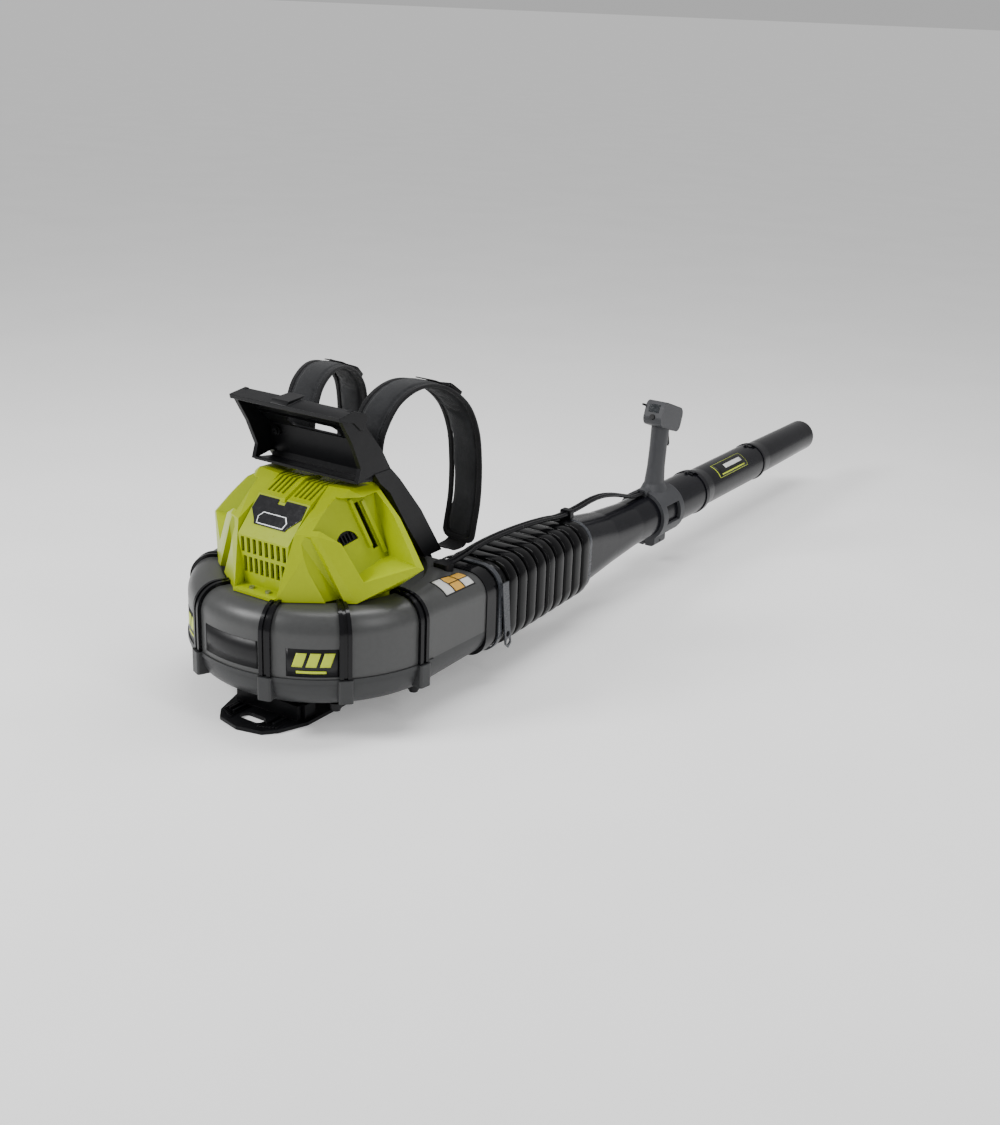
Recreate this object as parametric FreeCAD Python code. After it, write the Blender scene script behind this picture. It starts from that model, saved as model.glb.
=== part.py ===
"""Backpack leaf blower: a battery fan unit on a carrying frame, with a jointed blowing tube.

Millimetres. +X is the wearer's right, +Y the way the tube blows, +Z is up. The origin is on the
floor, under the axis of the fan.
"""
import FreeCAD, Part
import itertools
import math
import os

V = FreeCAD.Vector
UP = V(0, 0, 1)
ALONG = V(0, 1, 0)
SIDE = V(1, 0, 0)

# ---------------------------------------------------------------- driving dimensions
# fan housing: a ring of radius RING_R about (RING_X, RING_Y), a little off the fan axis (a scroll)
RING_X, RING_Y = -6.0, 6.0
RING_R = 212.0
RING_BOTTOM, RING_TOP = 46.0, 200.0
SEAM_Z = 100.0
SHOULDER_R, BELLY_R = 35.0, 46.0      # rounding above and below
CREST_IN, WELL_R = 160.0, 130.0       # the crest ends, the well floor starts
WELL_Z = 168.0
WALL = 3.0
BACK_Y = 139.0                         # the ring is flattened where it faces the frame
RIB_ANGLES = (-154.0, -113.0, -74.0, -42.0, -7.0)

# outlet duct and tube
DUCT_END = 140.0
TUBE_X, TUBE_Z = 150.0, 118.0
BELLOWS_START, BELLOWS_END = 180.0, 470.0
TAPER_END, LOWER_END = 690.0, 957.0
MID_END, NOZZLE_END = 1235.0, 1518.0
LOWER_R, MID_R, NOZZLE_R = 43.0, 39.0, 36.0
TUBE_WALL = 2.4
SPIGOT = 34.0                          # how far one tube goes into the next
FIT = 0.3                              # gap between sliding and turning plastic parts

# fan and motor
INLET_R = 82.0
IMPELLER_R = 128.0
SHAFT_R = 6.0
MOTOR_R, MOTOR_TOP = 52.0, 228.0

# carrying frame
FOOT_HALF, FOOT_REAR = 76.0, 206.0
PLATE = 6.0
RAIL_IN, RAIL_OUT = 92.0, 105.0

# control handle
CUFF_Y, CUFF_LEN = 800.0, 84.0
CUFF_R = 50.0
HANDLE_TRAVEL = 25.0
GRIP_LEAN = 5.0                        # degrees, forward
HEAD_Z = 292.0

os.makedirs("parts", exist_ok=True)


# ---------------------------------------------------------------- helpers
def save(name, *solids):
    """Write one node: its solids, as one STEP file."""
    pieces = [s for shape in solids for s in shape.Solids]
    for piece in pieces:
        if not piece.isValid() or piece.Volume < 1.0:
            print("bad solid in", name, piece.isValid(), round(piece.Volume, 2))
    shape = pieces[0] if len(pieces) == 1 else Part.makeCompound(pieces)
    shape.exportStep("parts/" + name + ".step")
    box = shape.BoundBox
    print(f"{name:22s} solids {len(pieces):3d}  x {box.XMin:7.1f} {box.XMax:7.1f}"
          f"  y {box.YMin:7.1f} {box.YMax:7.1f}  z {box.ZMin:6.1f} {box.ZMax:6.1f}")


def rod(radius, start, end):
    """Round bar from one point to another."""
    axis = end - start
    return Part.makeCylinder(radius, axis.Length, start, axis)


def pipe(outer, inner, start, end):
    return rod(outer, start, end).cut(rod(inner, start, end))


def block(x0, x1, y0, y1, z0, z1):
    return Part.makeBox(x1 - x0, y1 - y0, z1 - z0, V(x0, y0, z0))


def soft_block(x0, x1, y0, y1, z0, z1, radius, axis=UP):
    """Box whose edges along one axis are rounded."""
    box = block(x0, x1, y0, y1, z0, z1)
    edges = [e for e in box.Edges if abs(abs(e.tangentAt(e.FirstParameter).dot(axis)) - 1) < 1e-6]
    return box.makeFillet(radius, edges)


def mirror(shape):
    """The same piece on the wearer's other side."""
    return shape.mirror(V(0, 0, 0), SIDE)


def join(*shapes):
    return shapes[0].fuse(list(shapes[1:])).removeSplitter()


def slab(outline, x0, x1):
    """Outline of (y, z) points, thick from x0 to x1."""
    points = [V(x0, y, z) for y, z in outline]
    return Part.Face(Part.makePolygon(points + points[:1])).extrude(V(x1 - x0, 0, 0))


def plan(outline, z0, z1):
    """Outline of (x, y) points, thick from z0 to z1."""
    points = [V(x, y, z0) for x, y in outline]
    return Part.Face(Part.makePolygon(points + points[:1])).extrude(V(0, 0, z1 - z0))


def turned(profile, x=0.0, y=0.0, angle=360.0, start=0.0):
    """Solid of revolution about a vertical axis, from a closed list of edges in (radius, z)."""
    face = Part.Face(Part.Wire(Part.__sortEdges__(profile)))
    solid = face.revolve(V(0, 0, 0), UP, angle)
    solid.rotate(V(0, 0, 0), UP, start)
    solid.translate(V(x, y, 0))
    return solid


def edge(r0, z0, r1, z1):
    return Part.LineSegment(V(r0, 0, z0), V(r1, 0, z1)).toShape()


def bend(r0, z0, rm, zm, r1, z1):
    return Part.Arc(V(r0, 0, z0), V(rm, 0, zm), V(r1, 0, z1)).toShape()


def ring_of(r0, r1, z0, z1, x=0.0, y=0.0):
    """Flat ring between two radii."""
    return pipe(r1, r0, V(x, y, z0), V(x, y, z1))


def frame_wire(y, x0, x1, z0, z1, radii):
    """Rounded rectangle across the tube; radii: low inner, low outer, top outer, top inner."""
    corners = [(x0, z0, 1, 1), (x1, z0, -1, 1), (x1, z1, -1, -1), (x0, z1, 1, -1)]
    starts, arcs = [], []
    for (x, z, sx, sz), r in zip(corners, radii):
        cx, cz = x + sx * r, z + sz * r
        a, b = V(x, y, cz), V(cx, y, z)
        middle = V(cx - sx * r * math.sqrt(0.5), y, cz - sz * r * math.sqrt(0.5))
        first, last = (a, b) if sx * sz > 0 else (b, a)
        starts.append((first, last))
        arcs.append(Part.Arc(first, middle, last).toShape())
    edges = []
    for i, arc in enumerate(arcs):
        edges.append(arc)
        edges.append(Part.LineSegment(starts[i][1], starts[(i + 1) % 4][0]).toShape())
    return Part.Wire(edges)


def loft(wires):
    return Part.makeLoft(wires, True, True)


def convex(points):
    """The solid that a stretched skin round the points would enclose."""
    faces, seen = [], set()
    for a, b, c in itertools.combinations(range(len(points)), 3):
        normal = (points[b] - points[a]).cross(points[c] - points[a])
        if normal.Length < 1e-6:
            continue
        normal.normalize()
        heights = [(p - points[a]).dot(normal) for p in points]
        if max(heights) > 1e-5 and min(heights) < -1e-5:
            continue
        flat = frozenset(i for i, h in enumerate(heights) if abs(h) < 1e-5)
        if flat in seen:
            continue
        seen.add(flat)
        centre = V(0, 0, 0)
        for i in flat:
            centre += points[i] * (1.0 / len(flat))
        u = (points[a] - centre).normalize()
        v = normal.cross(u)
        arms = {i: points[i] - centre for i in flat}
        order = sorted(flat, key=lambda i: math.atan2(arms[i].dot(v), arms[i].dot(u)))
        loop = [points[i] for i in order]
        faces.append(Part.Face(Part.makePolygon(loop + loop[:1])))
    solid = Part.Solid(Part.Shell(faces))
    if solid.Volume < 0:
        solid.reverse()
    return solid


def beyond(point, normal, size=900.0):
    """Big block on the side of a plane that its normal points to."""
    big = Part.makeBox(size, size, size, V(-size / 2, -size / 2, 0))
    big.Placement = FreeCAD.Placement(point, FreeCAD.Rotation(UP, normal))
    return big


def both_sides(points):
    """The points and their mirror images across the middle of the machine."""
    return [V(s * x, y, z) for x, y, z in points for s in (1, -1)]


def cord(points, radius, name):
    """Round cable along straight runs joined by tangent arcs. Prints the arc radii."""
    runs = [(b - a).Length for a, b in zip(points, points[1:])]
    edges, cursor, radii = [], points[0], []
    for i in range(1, len(points) - 1):
        before = (points[i - 1] - points[i]).normalize()
        after = (points[i + 1] - points[i]).normalize()
        turn = math.pi - before.getAngle(after)
        reach = 0.45 * min(runs[i - 1], runs[i])
        arc_radius = reach / math.tan(turn / 2)
        radii.append(round(arc_radius, 1))
        start, end = points[i] + before * reach, points[i] + after * reach
        inward = (before + after).normalize()
        middle = points[i] + inward * (arc_radius / math.cos(turn / 2) - arc_radius)
        edges.append(Part.LineSegment(cursor, start).toShape())
        edges.append(Part.Arc(start, middle, end).toShape())
        cursor = end
    edges.append(Part.LineSegment(cursor, points[-1]).toShape())
    path = Part.Wire(edges)
    section = Part.Wire(Part.makeCircle(radius, points[0], points[1] - points[0]))
    solid = path.makePipeShell([section], True, True)
    print("  cord", name, "radii", radii, "volume ratio",
          round(solid.Volume / (math.pi * radius ** 2 * path.Length), 4), "length", round(path.Length, 1))
    return solid


# ---------------------------------------------------------------- fan housing
def ring_profile(inset):
    """Closed section of the fan housing, shrunk by inset on every side."""
    low, floor = RING_BOTTOM + inset, WELL_Z - inset
    top, out = RING_TOP - inset, RING_R - inset
    belly, shoulder = BELLY_R - inset, SHOULDER_R - inset
    belly_r, belly_z = RING_R - BELLY_R, RING_BOTTOM + BELLY_R
    shoulder_r, shoulder_z = RING_R - SHOULDER_R, RING_TOP - SHOULDER_R
    half = math.sqrt(0.5)
    return [
        edge(0, low, belly_r, low),
        bend(belly_r, low, belly_r + belly * half, belly_z - belly * half, out, belly_z),
        edge(out, belly_z, out, shoulder_z),
        bend(out, shoulder_z, shoulder_r + shoulder * half, shoulder_z + shoulder * half, shoulder_r, top),
        edge(shoulder_r, top, CREST_IN + inset * 0.4, top),
        edge(CREST_IN + inset * 0.4, top, WELL_R + inset * 0.4, floor),
        edge(WELL_R + inset * 0.4, floor, 0, floor),
        edge(0, floor, 0, low),
    ]


def duct(inset, end):
    """Outlet duct that leaves the ring on the wearer's right, from the ring's middle to y = end."""
    right = RING_X + RING_R - inset
    radii = [r - inset for r in (34, BELLY_R, SHOULDER_R, 34)]
    first = frame_wire(RING_Y, 84 + inset, right, RING_BOTTOM + inset, RING_TOP - inset, radii)
    share = (end - RING_Y) / (DUCT_END - RING_Y)
    low, top = RING_BOTTOM + 6 * share, RING_TOP - 8 * share
    last = frame_wire(end, 84 + 4 * share + inset, right + 4 * share, low + inset, top - inset, radii)
    return loft([first, last])


def at_rib(shape, angle):
    """Turn a piece made along +X from the ring's centre to a rib's place."""
    placed = shape.copy()
    placed.rotate(V(0, 0, 0), UP, angle)
    placed.translate(V(RING_X, RING_Y, 0))
    return placed


def ring_solid(inset):
    """The fan housing without its duct, flattened at the back with big rounded corners."""
    left = RING_X - RING_R
    trim = soft_block(left, 400, -400, BACK_Y - inset, 0, 400, 110)
    return turned(ring_profile(inset), RING_X, RING_Y).common(trim)


BOSS_LOW = 63.0
boss = soft_block(184, 221, -11, 11, BOSS_LOW, SEAM_Z - 0.2, 4)
bosses = [at_rib(boss, a) for a in RIB_ANGLES]
screw_low = V(215, 0, BOSS_LOW)
screw_room = join(rod(2.6, screw_low - UP, V(215, 0, 95)), rod(4.7, screw_low - UP, screw_low + UP * 8))
lip = ring_of(RING_R - 5, RING_R + 2.2, SEAM_Z - 7, SEAM_Z, RING_X, RING_Y)
lip = lip.common(block(-300, 300, -300, RING_Y, 0, 300))
ring_outside = ring_solid(0)
housing = ring_outside.fuse([duct(0, DUCT_END), lip] + bosses)
hollow = ring_solid(WALL).fuse(duct(WALL, DUCT_END + 5))
housing = housing.cut(hollow)
housing = housing.cut(rod(INLET_R, V(0, 0, 30), V(0, 0, 60)))
housing = housing.cut(rod(30, V(0, 0, 150), V(0, 0, 180)))
housing = housing.cut([at_rib(screw_room, a) for a in RIB_ANGLES])
above = block(-300, 300, -300, 300, SEAM_Z, 300)
volute_upper = housing.common(above)
volute_lower = housing.cut(above)
save("volute_upper", volute_upper)
save("volute_lower", volute_lower)


def rib_strap(thick_from, thick_to, half_angle):
    """Strap over the shoulder of the ring, lying on it like a hoop."""
    r0, r1 = RING_R + thick_from, RING_R + thick_to
    z0, z1 = RING_TOP + thick_from, RING_TOP + thick_to
    cr, cz = RING_R - SHOULDER_R, RING_TOP - SHOULDER_R
    s0, s1 = SHOULDER_R + thick_from, SHOULDER_R + thick_to
    half = math.sqrt(0.5)
    profile = [
        edge(r0, SEAM_Z, r0, cz),
        bend(r0, cz, cr + s0 * half, cz + s0 * half, cr, z0),
        edge(cr, z0, CREST_IN, z0),
        edge(CREST_IN, z0, CREST_IN, z1),
        edge(CREST_IN, z1, cr, z1),
        bend(cr, z1, cr + s1 * half, cz + s1 * half, r1, cz),
        edge(r1, cz, r1, SEAM_Z),
        edge(r1, SEAM_Z, r0, SEAM_Z),
    ]
    return turned(profile, angle=2 * half_angle, start=-half_angle)


rib = rib_strap(0, 5.5, 2.4).cut(rib_strap(3, 8, 0.8))

screw = join(rod(2.5, screw_low + UP * 6, V(215, 0, 93)), rod(4.5, screw_low + UP * 4, screw_low + UP * 8))
screw = screw.cut(Part.makeBox(4, 4, 2, V(213, -2, BOSS_LOW + 3)))
save("volute_screws", *[at_rib(screw, a) for a in RIB_ANGLES])

bumper = join(rod(9, V(176, 0, 38), V(176, 0, 47)), rod(7, V(176, 0, 34), V(176, 0, 38)))
bumper = bumper.cut(turned(ring_profile(0)))
save("volute_bumpers", *[at_rib(bumper, a) for a in (0, 180, 225, 315)])

guard = join(
    ring_of(INLET_R - 1, INLET_R + 7, 42, RING_BOTTOM),
    *[ring_of(r - 1.2, r + 1.2, 42.5, 45.5) for r in (20, 36, 52, 68)],
    *[Part.makeBox(INLET_R - 14, 2.4, 3, V(18, -1.2, 42.5)).rotate(V(0, 0, 0), UP, 30 * k)
      for k in range(12)])
save("inlet_guard", guard)

bell = turned([edge(83, 49, 94, 49), edge(94, 49, 94, 51), edge(94, 51, 85, 51),
               bend(85, 51, 77, 55, 74.5, 64), edge(74.5, 64, 72.5, 64),
               bend(72.5, 64, 75.5, 54, 83, 49)])
save("inlet_bell", bell)

# ---------------------------------------------------------------- fan and motor
SHROUD_Z, BLADE_TOP = 66.0, 118.0


def blade():
    """Backward-curved blade: a curved sheet between shroud and back plate."""
    inner = Part.Arc(V(64, 0, SHROUD_Z), V(94, -22, SHROUD_Z), V(118, -48, SHROUD_Z))
    outer = Part.Arc(V(118, -45, SHROUD_Z), V(95, -19, SHROUD_Z), V(64, 3, SHROUD_Z))
    sides = [inner.toShape(), Part.LineSegment(inner.EndPoint, outer.StartPoint).toShape(),
             outer.toShape(), Part.LineSegment(outer.EndPoint, inner.StartPoint).toShape()]
    return Part.Face(Part.Wire(sides)).extrude(V(0, 0, BLADE_TOP + 1 - SHROUD_Z))


wheel = [ring_of(22, IMPELLER_R, BLADE_TOP, BLADE_TOP + 3), ring_of(SHAFT_R, 23, 106, 132),
         ring_of(76, IMPELLER_R, SHROUD_Z, SHROUD_Z + 3)]
wheel += [blade().rotate(V(0, 0, 0), UP, 36 * k) for k in range(10)]
save("impeller", join(*wheel))


def hexagon(across, z0, z1):
    """Hexagonal prism on the fan axis."""
    corner = across / math.sqrt(3)
    return plan([(corner * math.cos(math.radians(60 * k)), corner * math.sin(math.radians(60 * k)))
                 for k in range(6)], z0, z1)


save("impeller_nut", hexagon(19, 98, 106).cut(rod(SHAFT_R, V(0, 0, 90), V(0, 0, 110))))
save("motor_shaft", rod(SHAFT_R, V(0, 0, 95), V(0, 0, MOTOR_TOP + 3)))

CORE = (186.0, 212.0)
magnets = ring_of(SHAFT_R, 29.4, *CORE)
save("rotor_core", magnets)
teeth = [block(27, 44, -4, 4, *CORE).rotate(V(0, 0, 0), UP, 30 * k) for k in range(12)]
stator = join(ring_of(40, 48, *CORE), *teeth).cut(rod(30, V(0, 0, 180), V(0, 0, 220)))
save("stator", stator)

can = join(ring_of(48, MOTOR_R, WELL_Z, MOTOR_TOP), ring_of(11, MOTOR_R, WELL_Z, WELL_Z + 3),
           ring_of(11, 17, WELL_Z, WELL_Z + 9), ring_of(11, MOTOR_R, MOTOR_TOP - 3, MOTOR_TOP),
           ring_of(11, 17, MOTOR_TOP - 9, MOTOR_TOP), ring_of(MOTOR_R, 62, WELL_Z, WELL_Z + 4),
           *[rod(3.5, V(sx * 28, y, MOTOR_TOP - 1), V(sx * 28, y, MOTOR_TOP + 14))
             for sx in (1, -1) for y in (-38, 10)])
save("motor_housing", can)


def bearing(z0):
    """Deep-groove ball bearing with its balls hidden behind shields."""
    return join(ring_of(SHAFT_R, 7.6, z0, z0 + 7), ring_of(9.4, 11, z0, z0 + 7),
                ring_of(7.6, 9.4, z0 + 0.6, z0 + 6.4))


save("bearing_lower", bearing(WELL_Z + 1))
save("bearing_upper", bearing(MOTOR_TOP - 8))

BOARD_Z = MOTOR_TOP + 14
board = block(-38, 38, -70, 16, BOARD_Z, BOARD_Z + 1.6)
capacitors = [rod(6, V(x, -60, BOARD_Z + 1), V(x, -60, BOARD_Z + 20)) for x in (-28, -12, 4)]
switches = [block(x, x + 9, 8, 13, BOARD_Z + 1, BOARD_Z + 10) for x in (-34, -20, -6, 8, 22)]
save("controller_board", join(board, *capacitors, *switches))
sink = join(block(-34, 34, -50, 4, BOARD_Z + 1.6, BOARD_Z + 5),
            *[block(x, x + 2, -50, 4, BOARD_Z + 4, BOARD_Z + 20) for x in range(-34, 33, 6)])
save("heat_sink", sink)

# ---------------------------------------------------------------- green housing
COVER_BASE = RING_TOP + 1.0
cover_points = both_sides([(40, -138, COVER_BASE), (49, -142, 283), (50, -93, 334), (46, -50, 353),
                           (46, 14, 351), (62, 78, COVER_BASE), (62, -100, COVER_BASE)])
cover_hull = convex(cover_points)
cover_centre = V(0, -60, 262)
cover = cover_hull.cut(cover_hull.scaled(0.94, cover_centre))
PLUG_R = WELL_R - 3
plug = [ring_of(r0, PLUG_R, z0, z1, RING_X, RING_Y)
        for r0, z0, z1 in ((84, WELL_Z, WELL_Z + 3), (PLUG_R - 3, WELL_Z, COVER_BASE + 3),
                           (84, COVER_BASE, COVER_BASE + 3))]
ledge = plan([(-40, -165), (40, -165), (46, -120), (-46, -120)], COVER_BASE, COVER_BASE + 5)
LEDGE_SCREWS = [V(16 * sx, -150, COVER_BASE + 5) for sx in (1, -1)]
cover = cover.fuse(plug + [ledge])
cover = cover.cut([duct(0, DUCT_END), block(-48, 48, -118, 20, COVER_BASE - 2, COVER_BASE + 6),
                   rod(66, V(0, 0, COVER_BASE - 2), V(0, 0, COVER_BASE + 6))])

GRILLE_ROWS = ((225, 250), (256, 280))
grille = []
for column in range(8):
    for z0, z1 in GRILLE_ROWS:
        centre = (column - 3.5) * (10.6 if z0 < 250 else 11.6)
        grille.append(block(centre - 3.2, centre + 3.2, -175, -132, z0, z1))
vents = []
for k in range(4):
    for side in (1, -1):
        x = side * (12.5 + 9 * k)
        vents.append(slab([(-84, 320), (-84, 352), (-24, 362), (-24, 335)], x - 2.2, x + 2.2))
cover = cover.cut(grille + vents + [rod(2.6, p - UP * 8, p + UP * 2) for p in LEDGE_SCREWS])
ridge = slab([(-98, 331), (-96, 336.5), (-50, 357), (10, 354), (10, 350), (-50, 352)], -4, 4)
cover = cover.fuse(ridge).removeSplitter()

# battery bays: the tray's floor has its own frame, u down the slope, v across, n out of the floor
FLOOR_AT = V(118, -84, 231)
FLOOR_N = V(1, -0.36, 0.42).normalize()
FLOOR_U = (V(0.425, 0.138, -0.894) - FLOOR_N * FLOOR_N.dot(V(0.425, 0.138, -0.894))).normalize()
FLOOR_V = FLOOR_N.cross(FLOOR_U)
BAY = [V(*p) for p in (
    (55, -134, 302), (84, -119, 301), (88, -50, 357), (48, -50, 354), (40, -162, COVER_BASE),
    (93, -112, COVER_BASE), (138, -94, COVER_BASE + 1), (92, 8, 353), (125, -5, 332),
    (153, -12, 317), (180, -19, 288), (209, -26, 253), (142, -6, COVER_BASE),
    (60, 24, COVER_BASE), (60, 16, 352))]
BACK_N = V(0.27, 1, 0).normalize()


def on_floor(shape):
    """Place a piece made in the tray floor's own frame."""
    placed = shape.copy()
    placed.Placement = FreeCAD.Placement(FLOOR_AT, FreeCAD.Rotation(FLOOR_U, FLOOR_V, FLOOR_N, "ZXY"))
    return placed


def tray(grow):
    """Room for the battery in a bay, each side moved out by grow."""
    front_n = (BAY[6] - BAY[0]).cross(BAY[1] - BAY[0]).normalize()
    front_n = front_n if front_n.y > 0 else front_n * -1
    ledge_n = V(-330, -1140, 3390).normalize()
    room = beyond(FLOOR_AT - FLOOR_N * grow, FLOOR_N)
    room = room.common(beyond(BAY[0] + front_n * (6 - grow), front_n))
    room = room.common(beyond(FLOOR_AT - ledge_n * grow, ledge_n))
    room = room.common(beyond(V(133, -15, 256) + BACK_N * grow, BACK_N * -1))
    return room.common(beyond(V(0, 0, 346 + grow), V(0, 0, -1)))


def valley(grow):
    """Hollow between the front fin and the rim of the tray, its floor moved in by grow."""
    return convex([V(57, -139, 306), V(97, -122, 190), V(82, -126, 306), V(133, -104, 190),
                   V(74, -122 + grow, 296), V(110, -88 + grow, 190)])


bay_hull = convex(BAY)
middle = V(0, 0, 0)
for corner in BAY:
    middle += corner * (1.0 / len(BAY))
inside = bay_hull.scaled(0.93, middle).cut([tray(WALL), valley(WALL + 1)])
plug_room = rod(PLUG_R, V(RING_X, RING_Y, 150), V(RING_X, RING_Y, COVER_BASE + 3))
bay = bay_hull.cut([tray(0), valley(0), inside, cover_hull, ledge, plug_room, mirror(plug_room)])
tray_rails = [Part.makeBox(76, 5, 6, V(-106, 51, -0.5)), Part.makeBox(84, 6, 6, V(-96, 68.5, -0.5))]
bay = bay.fuse([on_floor(r) for r in tray_rails])
moon = rod(19, V(-49, 23, -8), V(-49, 23, 6)).common(Part.makeBox(30, 60, 20, V(-79, -10, -9)))
slot = Part.makeBox(27, 4, 3, V(-38, 0, -2))
groove = Part.makeBox(74, 9, 9, V(-98, 57.5, -8))
bay = bay.cut([on_floor(moon), on_floor(slot), on_floor(groove)])
bay = max(bay.Solids, key=lambda s: s.Volume)
cover = max(cover.Solids, key=lambda s: s.Volume)
greens = [cover, bay, mirror(bay)]
save("motor_cover", cover)
save("battery_bay_right", bay)
save("battery_bay_left", mirror(bay))
save("volute_ribs", *[max(at_rib(rib, a).cut(greens).Solids, key=lambda s: s.Volume) for a in RIB_ANGLES])

terminal = join(Part.makeBox(34, 44, 9, V(-72, 1, -13)),
                *[Part.makeBox(12, 1.6, 6, V(-63, 9 + 6 * k, -5)) for k in range(5)])
terminal = on_floor(terminal)
save("terminal_block_right", terminal)
save("terminal_block_left", mirror(terminal))

slope = V(0, -49, -51).normalize()
slope_out = V(0, -51, 49).normalize()


def on_slope(outline, low, high):
    """Plate on the sloping face above the grille, from (x, distance down the slope) points."""
    top = V(0, -93, 334)
    points = [top + slope * s + V(x, 0, 0) + slope_out * low for x, s in outline]
    return Part.Face(Part.makePolygon(points + points[:1])).extrude(slope_out * (high - low))


badge = on_slope([(-46, 3), (-7, 3), (-7, 11), (7, 11), (7, 3), (46, 3), (48, 26), (33, 44), (30, 50),
                  (-30, 50), (-33, 44), (-48, 26)], 0, 1.6)
badge = badge.cut(ridge)
save("badge_plate", badge)

# ---------------------------------------------------------------- carrying frame
foot_outline = [(-58, -180), (-42, -199), (0, -209), (42, -199), (58, -180), (FOOT_HALF, -132),
                (FOOT_HALF, FOOT_REAR), (-FOOT_HALF, FOOT_REAR), (-FOOT_HALF, -125)]
plate = plan(foot_outline, 0, PLATE)
air_gaps = [soft_block(x0, x0 + 42, -60, 90, -1, 8, 16) for x0 in (-52, 10)]
plate = plate.cut([soft_block(-22, 22, -182, -162, -1, 8, 9)] + air_gaps)
mount_spots = [(sx * 50, y) for sx in (1, -1) for y in (-118, 108)]
posts = [block(x - 18, x + 18, y - 12, y + 12, PLATE - 1, 30) for x, y in mount_spots]
ribs = [block(x - 2, x + 2, -190 + abs(x) * 0.35, -150, PLATE - 1, PLATE + 5) for x in (-44, -33, 33, 44)]
riser = block(-62, 62, -140, -132, PLATE - 1, 30)
BACK_LINE = [(142, 206), (142, 118), (FOOT_REAR - 10, 92), (FOOT_REAR - 10, 0), (FOOT_REAR, 0),
             (FOOT_REAR, 108), (192, 160), (164, 206)]
upright = slab(BACK_LINE, -FOOT_HALF, FOOT_HALF)
upright = upright.cut(soft_block(-46, 46, 180, 260, 30, 84, 16, ALONG))
base = join(plate, upright, riser, *posts, *ribs)
save("base_frame", base)
save("rubber_mounts", *[join(rod(11, V(x, y, 30), V(x, y, RING_BOTTOM)), rod(14, V(x, y, 34), V(x, y, 42)))
                        for x, y in mount_spots])

rail_outline = [(163, 207), (106, 289), (51, 352), (28, 374), (-12, 374), (2, 356), (26, 336),
                (72, 268), (118, 207)]
rails = [slab(rail_outline, RAIL_IN, RAIL_OUT), slab(rail_outline, -RAIL_OUT, -RAIL_IN)]
panel = slab([(155, 207), (98, 288), (43, 350), (28, 366), (24, 363), (39, 347), (94, 285), (150, 207)],
             -RAIL_IN - 1, RAIL_IN + 1)
cross = [slab([(y, z), (y - 20, z - 14), (y - 22, z - 10), (y - 3, z + 4)], -RAIL_IN - 1, RAIL_IN + 1)
         for y, z in ((128, 243), (88, 296))]
back_frame = join(panel, *rails, *cross).cut(greens)
back_frame = max(back_frame.Solids, key=lambda s: s.Volume)
save("back_frame", back_frame)

flange_outline = [(-90, 474), (-61, 481), (-30, 449), (6, 408), (28, 374), (-12, 374), (-50, 368),
                  (-43, 389), (-62, 430)]
flanges = [slab(flange_outline, 97, 104), slab(flange_outline, -104, -97)]
dish = slab([(-50, 367), (-8, 361), (-4, 372), (-9, 421), (-36, 446), (-40, 442), (-13, 419), (-8, 374),
             (-11, 365), (-50, 371)], -98, 98)
dish = dish.cut(soft_block(-50, 50, -60, 20, 423, 441, 8, ALONG))
boss_spots = [V(84, -8, 407), V(-84, -8, 407)]
hood = join(dish, *flanges, *[rod(7.5, p, p + V(0, -9, 0)) for p in boss_spots])
hood = hood.cut([rod(2.5, p + V(0, 8, 0), p + V(0, -12, 0)) for p in boss_spots])
bar = slab([(-94, 476), (-62, 480), (-32, 470), (-30, 462), (-40, 445.5), (-46, 448), (-62, 462),
            (-92, 469)], -106, 106)
thumb = slab([(-94, 476), (-62, 480), (-50, 484), (-88, 482)], -26, 6)
bar = join(bar, thumb)
bar = bar.cut([flange.common(bar) for flange in flanges] + [dish])
save("carry_handle", max(bar.Solids, key=lambda s: s.Volume))
hood = hood.cut([bar, back_frame] + greens)
save("hood_shell", max(hood.Solids, key=lambda s: s.Volume))
hood_screws = []
for spot in boss_spots:
    neck = spot - ALONG * 9
    hood_screw = join(rod(2.5, neck, spot + ALONG * 4), rod(4.8, neck - ALONG * 3, neck))
    hood_screws.append(hood_screw.cut(Part.makeBox(4, 3, 4, spot + V(-2, -13, -2))))
save("hood_screws", *hood_screws)

pad = slab([(172, 216), (116, 296), (64, 354), (42, 351.3), (98, 288), (152, 211)], -84, 84).cut(panel)
save("back_pad", max(pad.Solids, key=lambda s: s.Volume))

STRAP = [(66, 14, 392), (68, 22, 430), (75, 48, 470), (84, 92, 488), (93, 142, 479), (104, 184, 446),
         (112, 203, 400), (116, 207, 345), (117, 205, 290), (114, 200, 244), (112, 197, 219)]


def ribbon(points, width, thick):
    """Flat strap along the points, its width kept level."""
    wires = []
    for i, here in enumerate(points):
        before, after = points[max(i - 1, 0)], points[min(i + 1, len(points) - 1)]
        tangent = (after - before).normalize()
        across = (SIDE - tangent * tangent.x).normalize()
        normal = tangent.cross(across)
        a, b = across * (width / 2), normal * (thick / 2)
        wires.append(Part.makePolygon([here - a - b, here + a - b, here + a + b, here - a + b, here - a - b]))
    return loft(wires)


strap_points = [V(*p) for p in STRAP]
shoulder = ribbon(strap_points, 56, 12)
webbing = ribbon([V(112, 197, 221), V(110, 192, 212), V(104, 176, 208), V(100, 160, 213)], 40, 3)
webbing = webbing.cut([back_frame, shoulder])
save("shoulder_pad_right", shoulder)
save("shoulder_pad_left", mirror(shoulder))
save("strap_webbing_right", max(webbing.Solids, key=lambda s: s.Volume))
save("strap_webbing_left", mirror(max(webbing.Solids, key=lambda s: s.Volume)))


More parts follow.
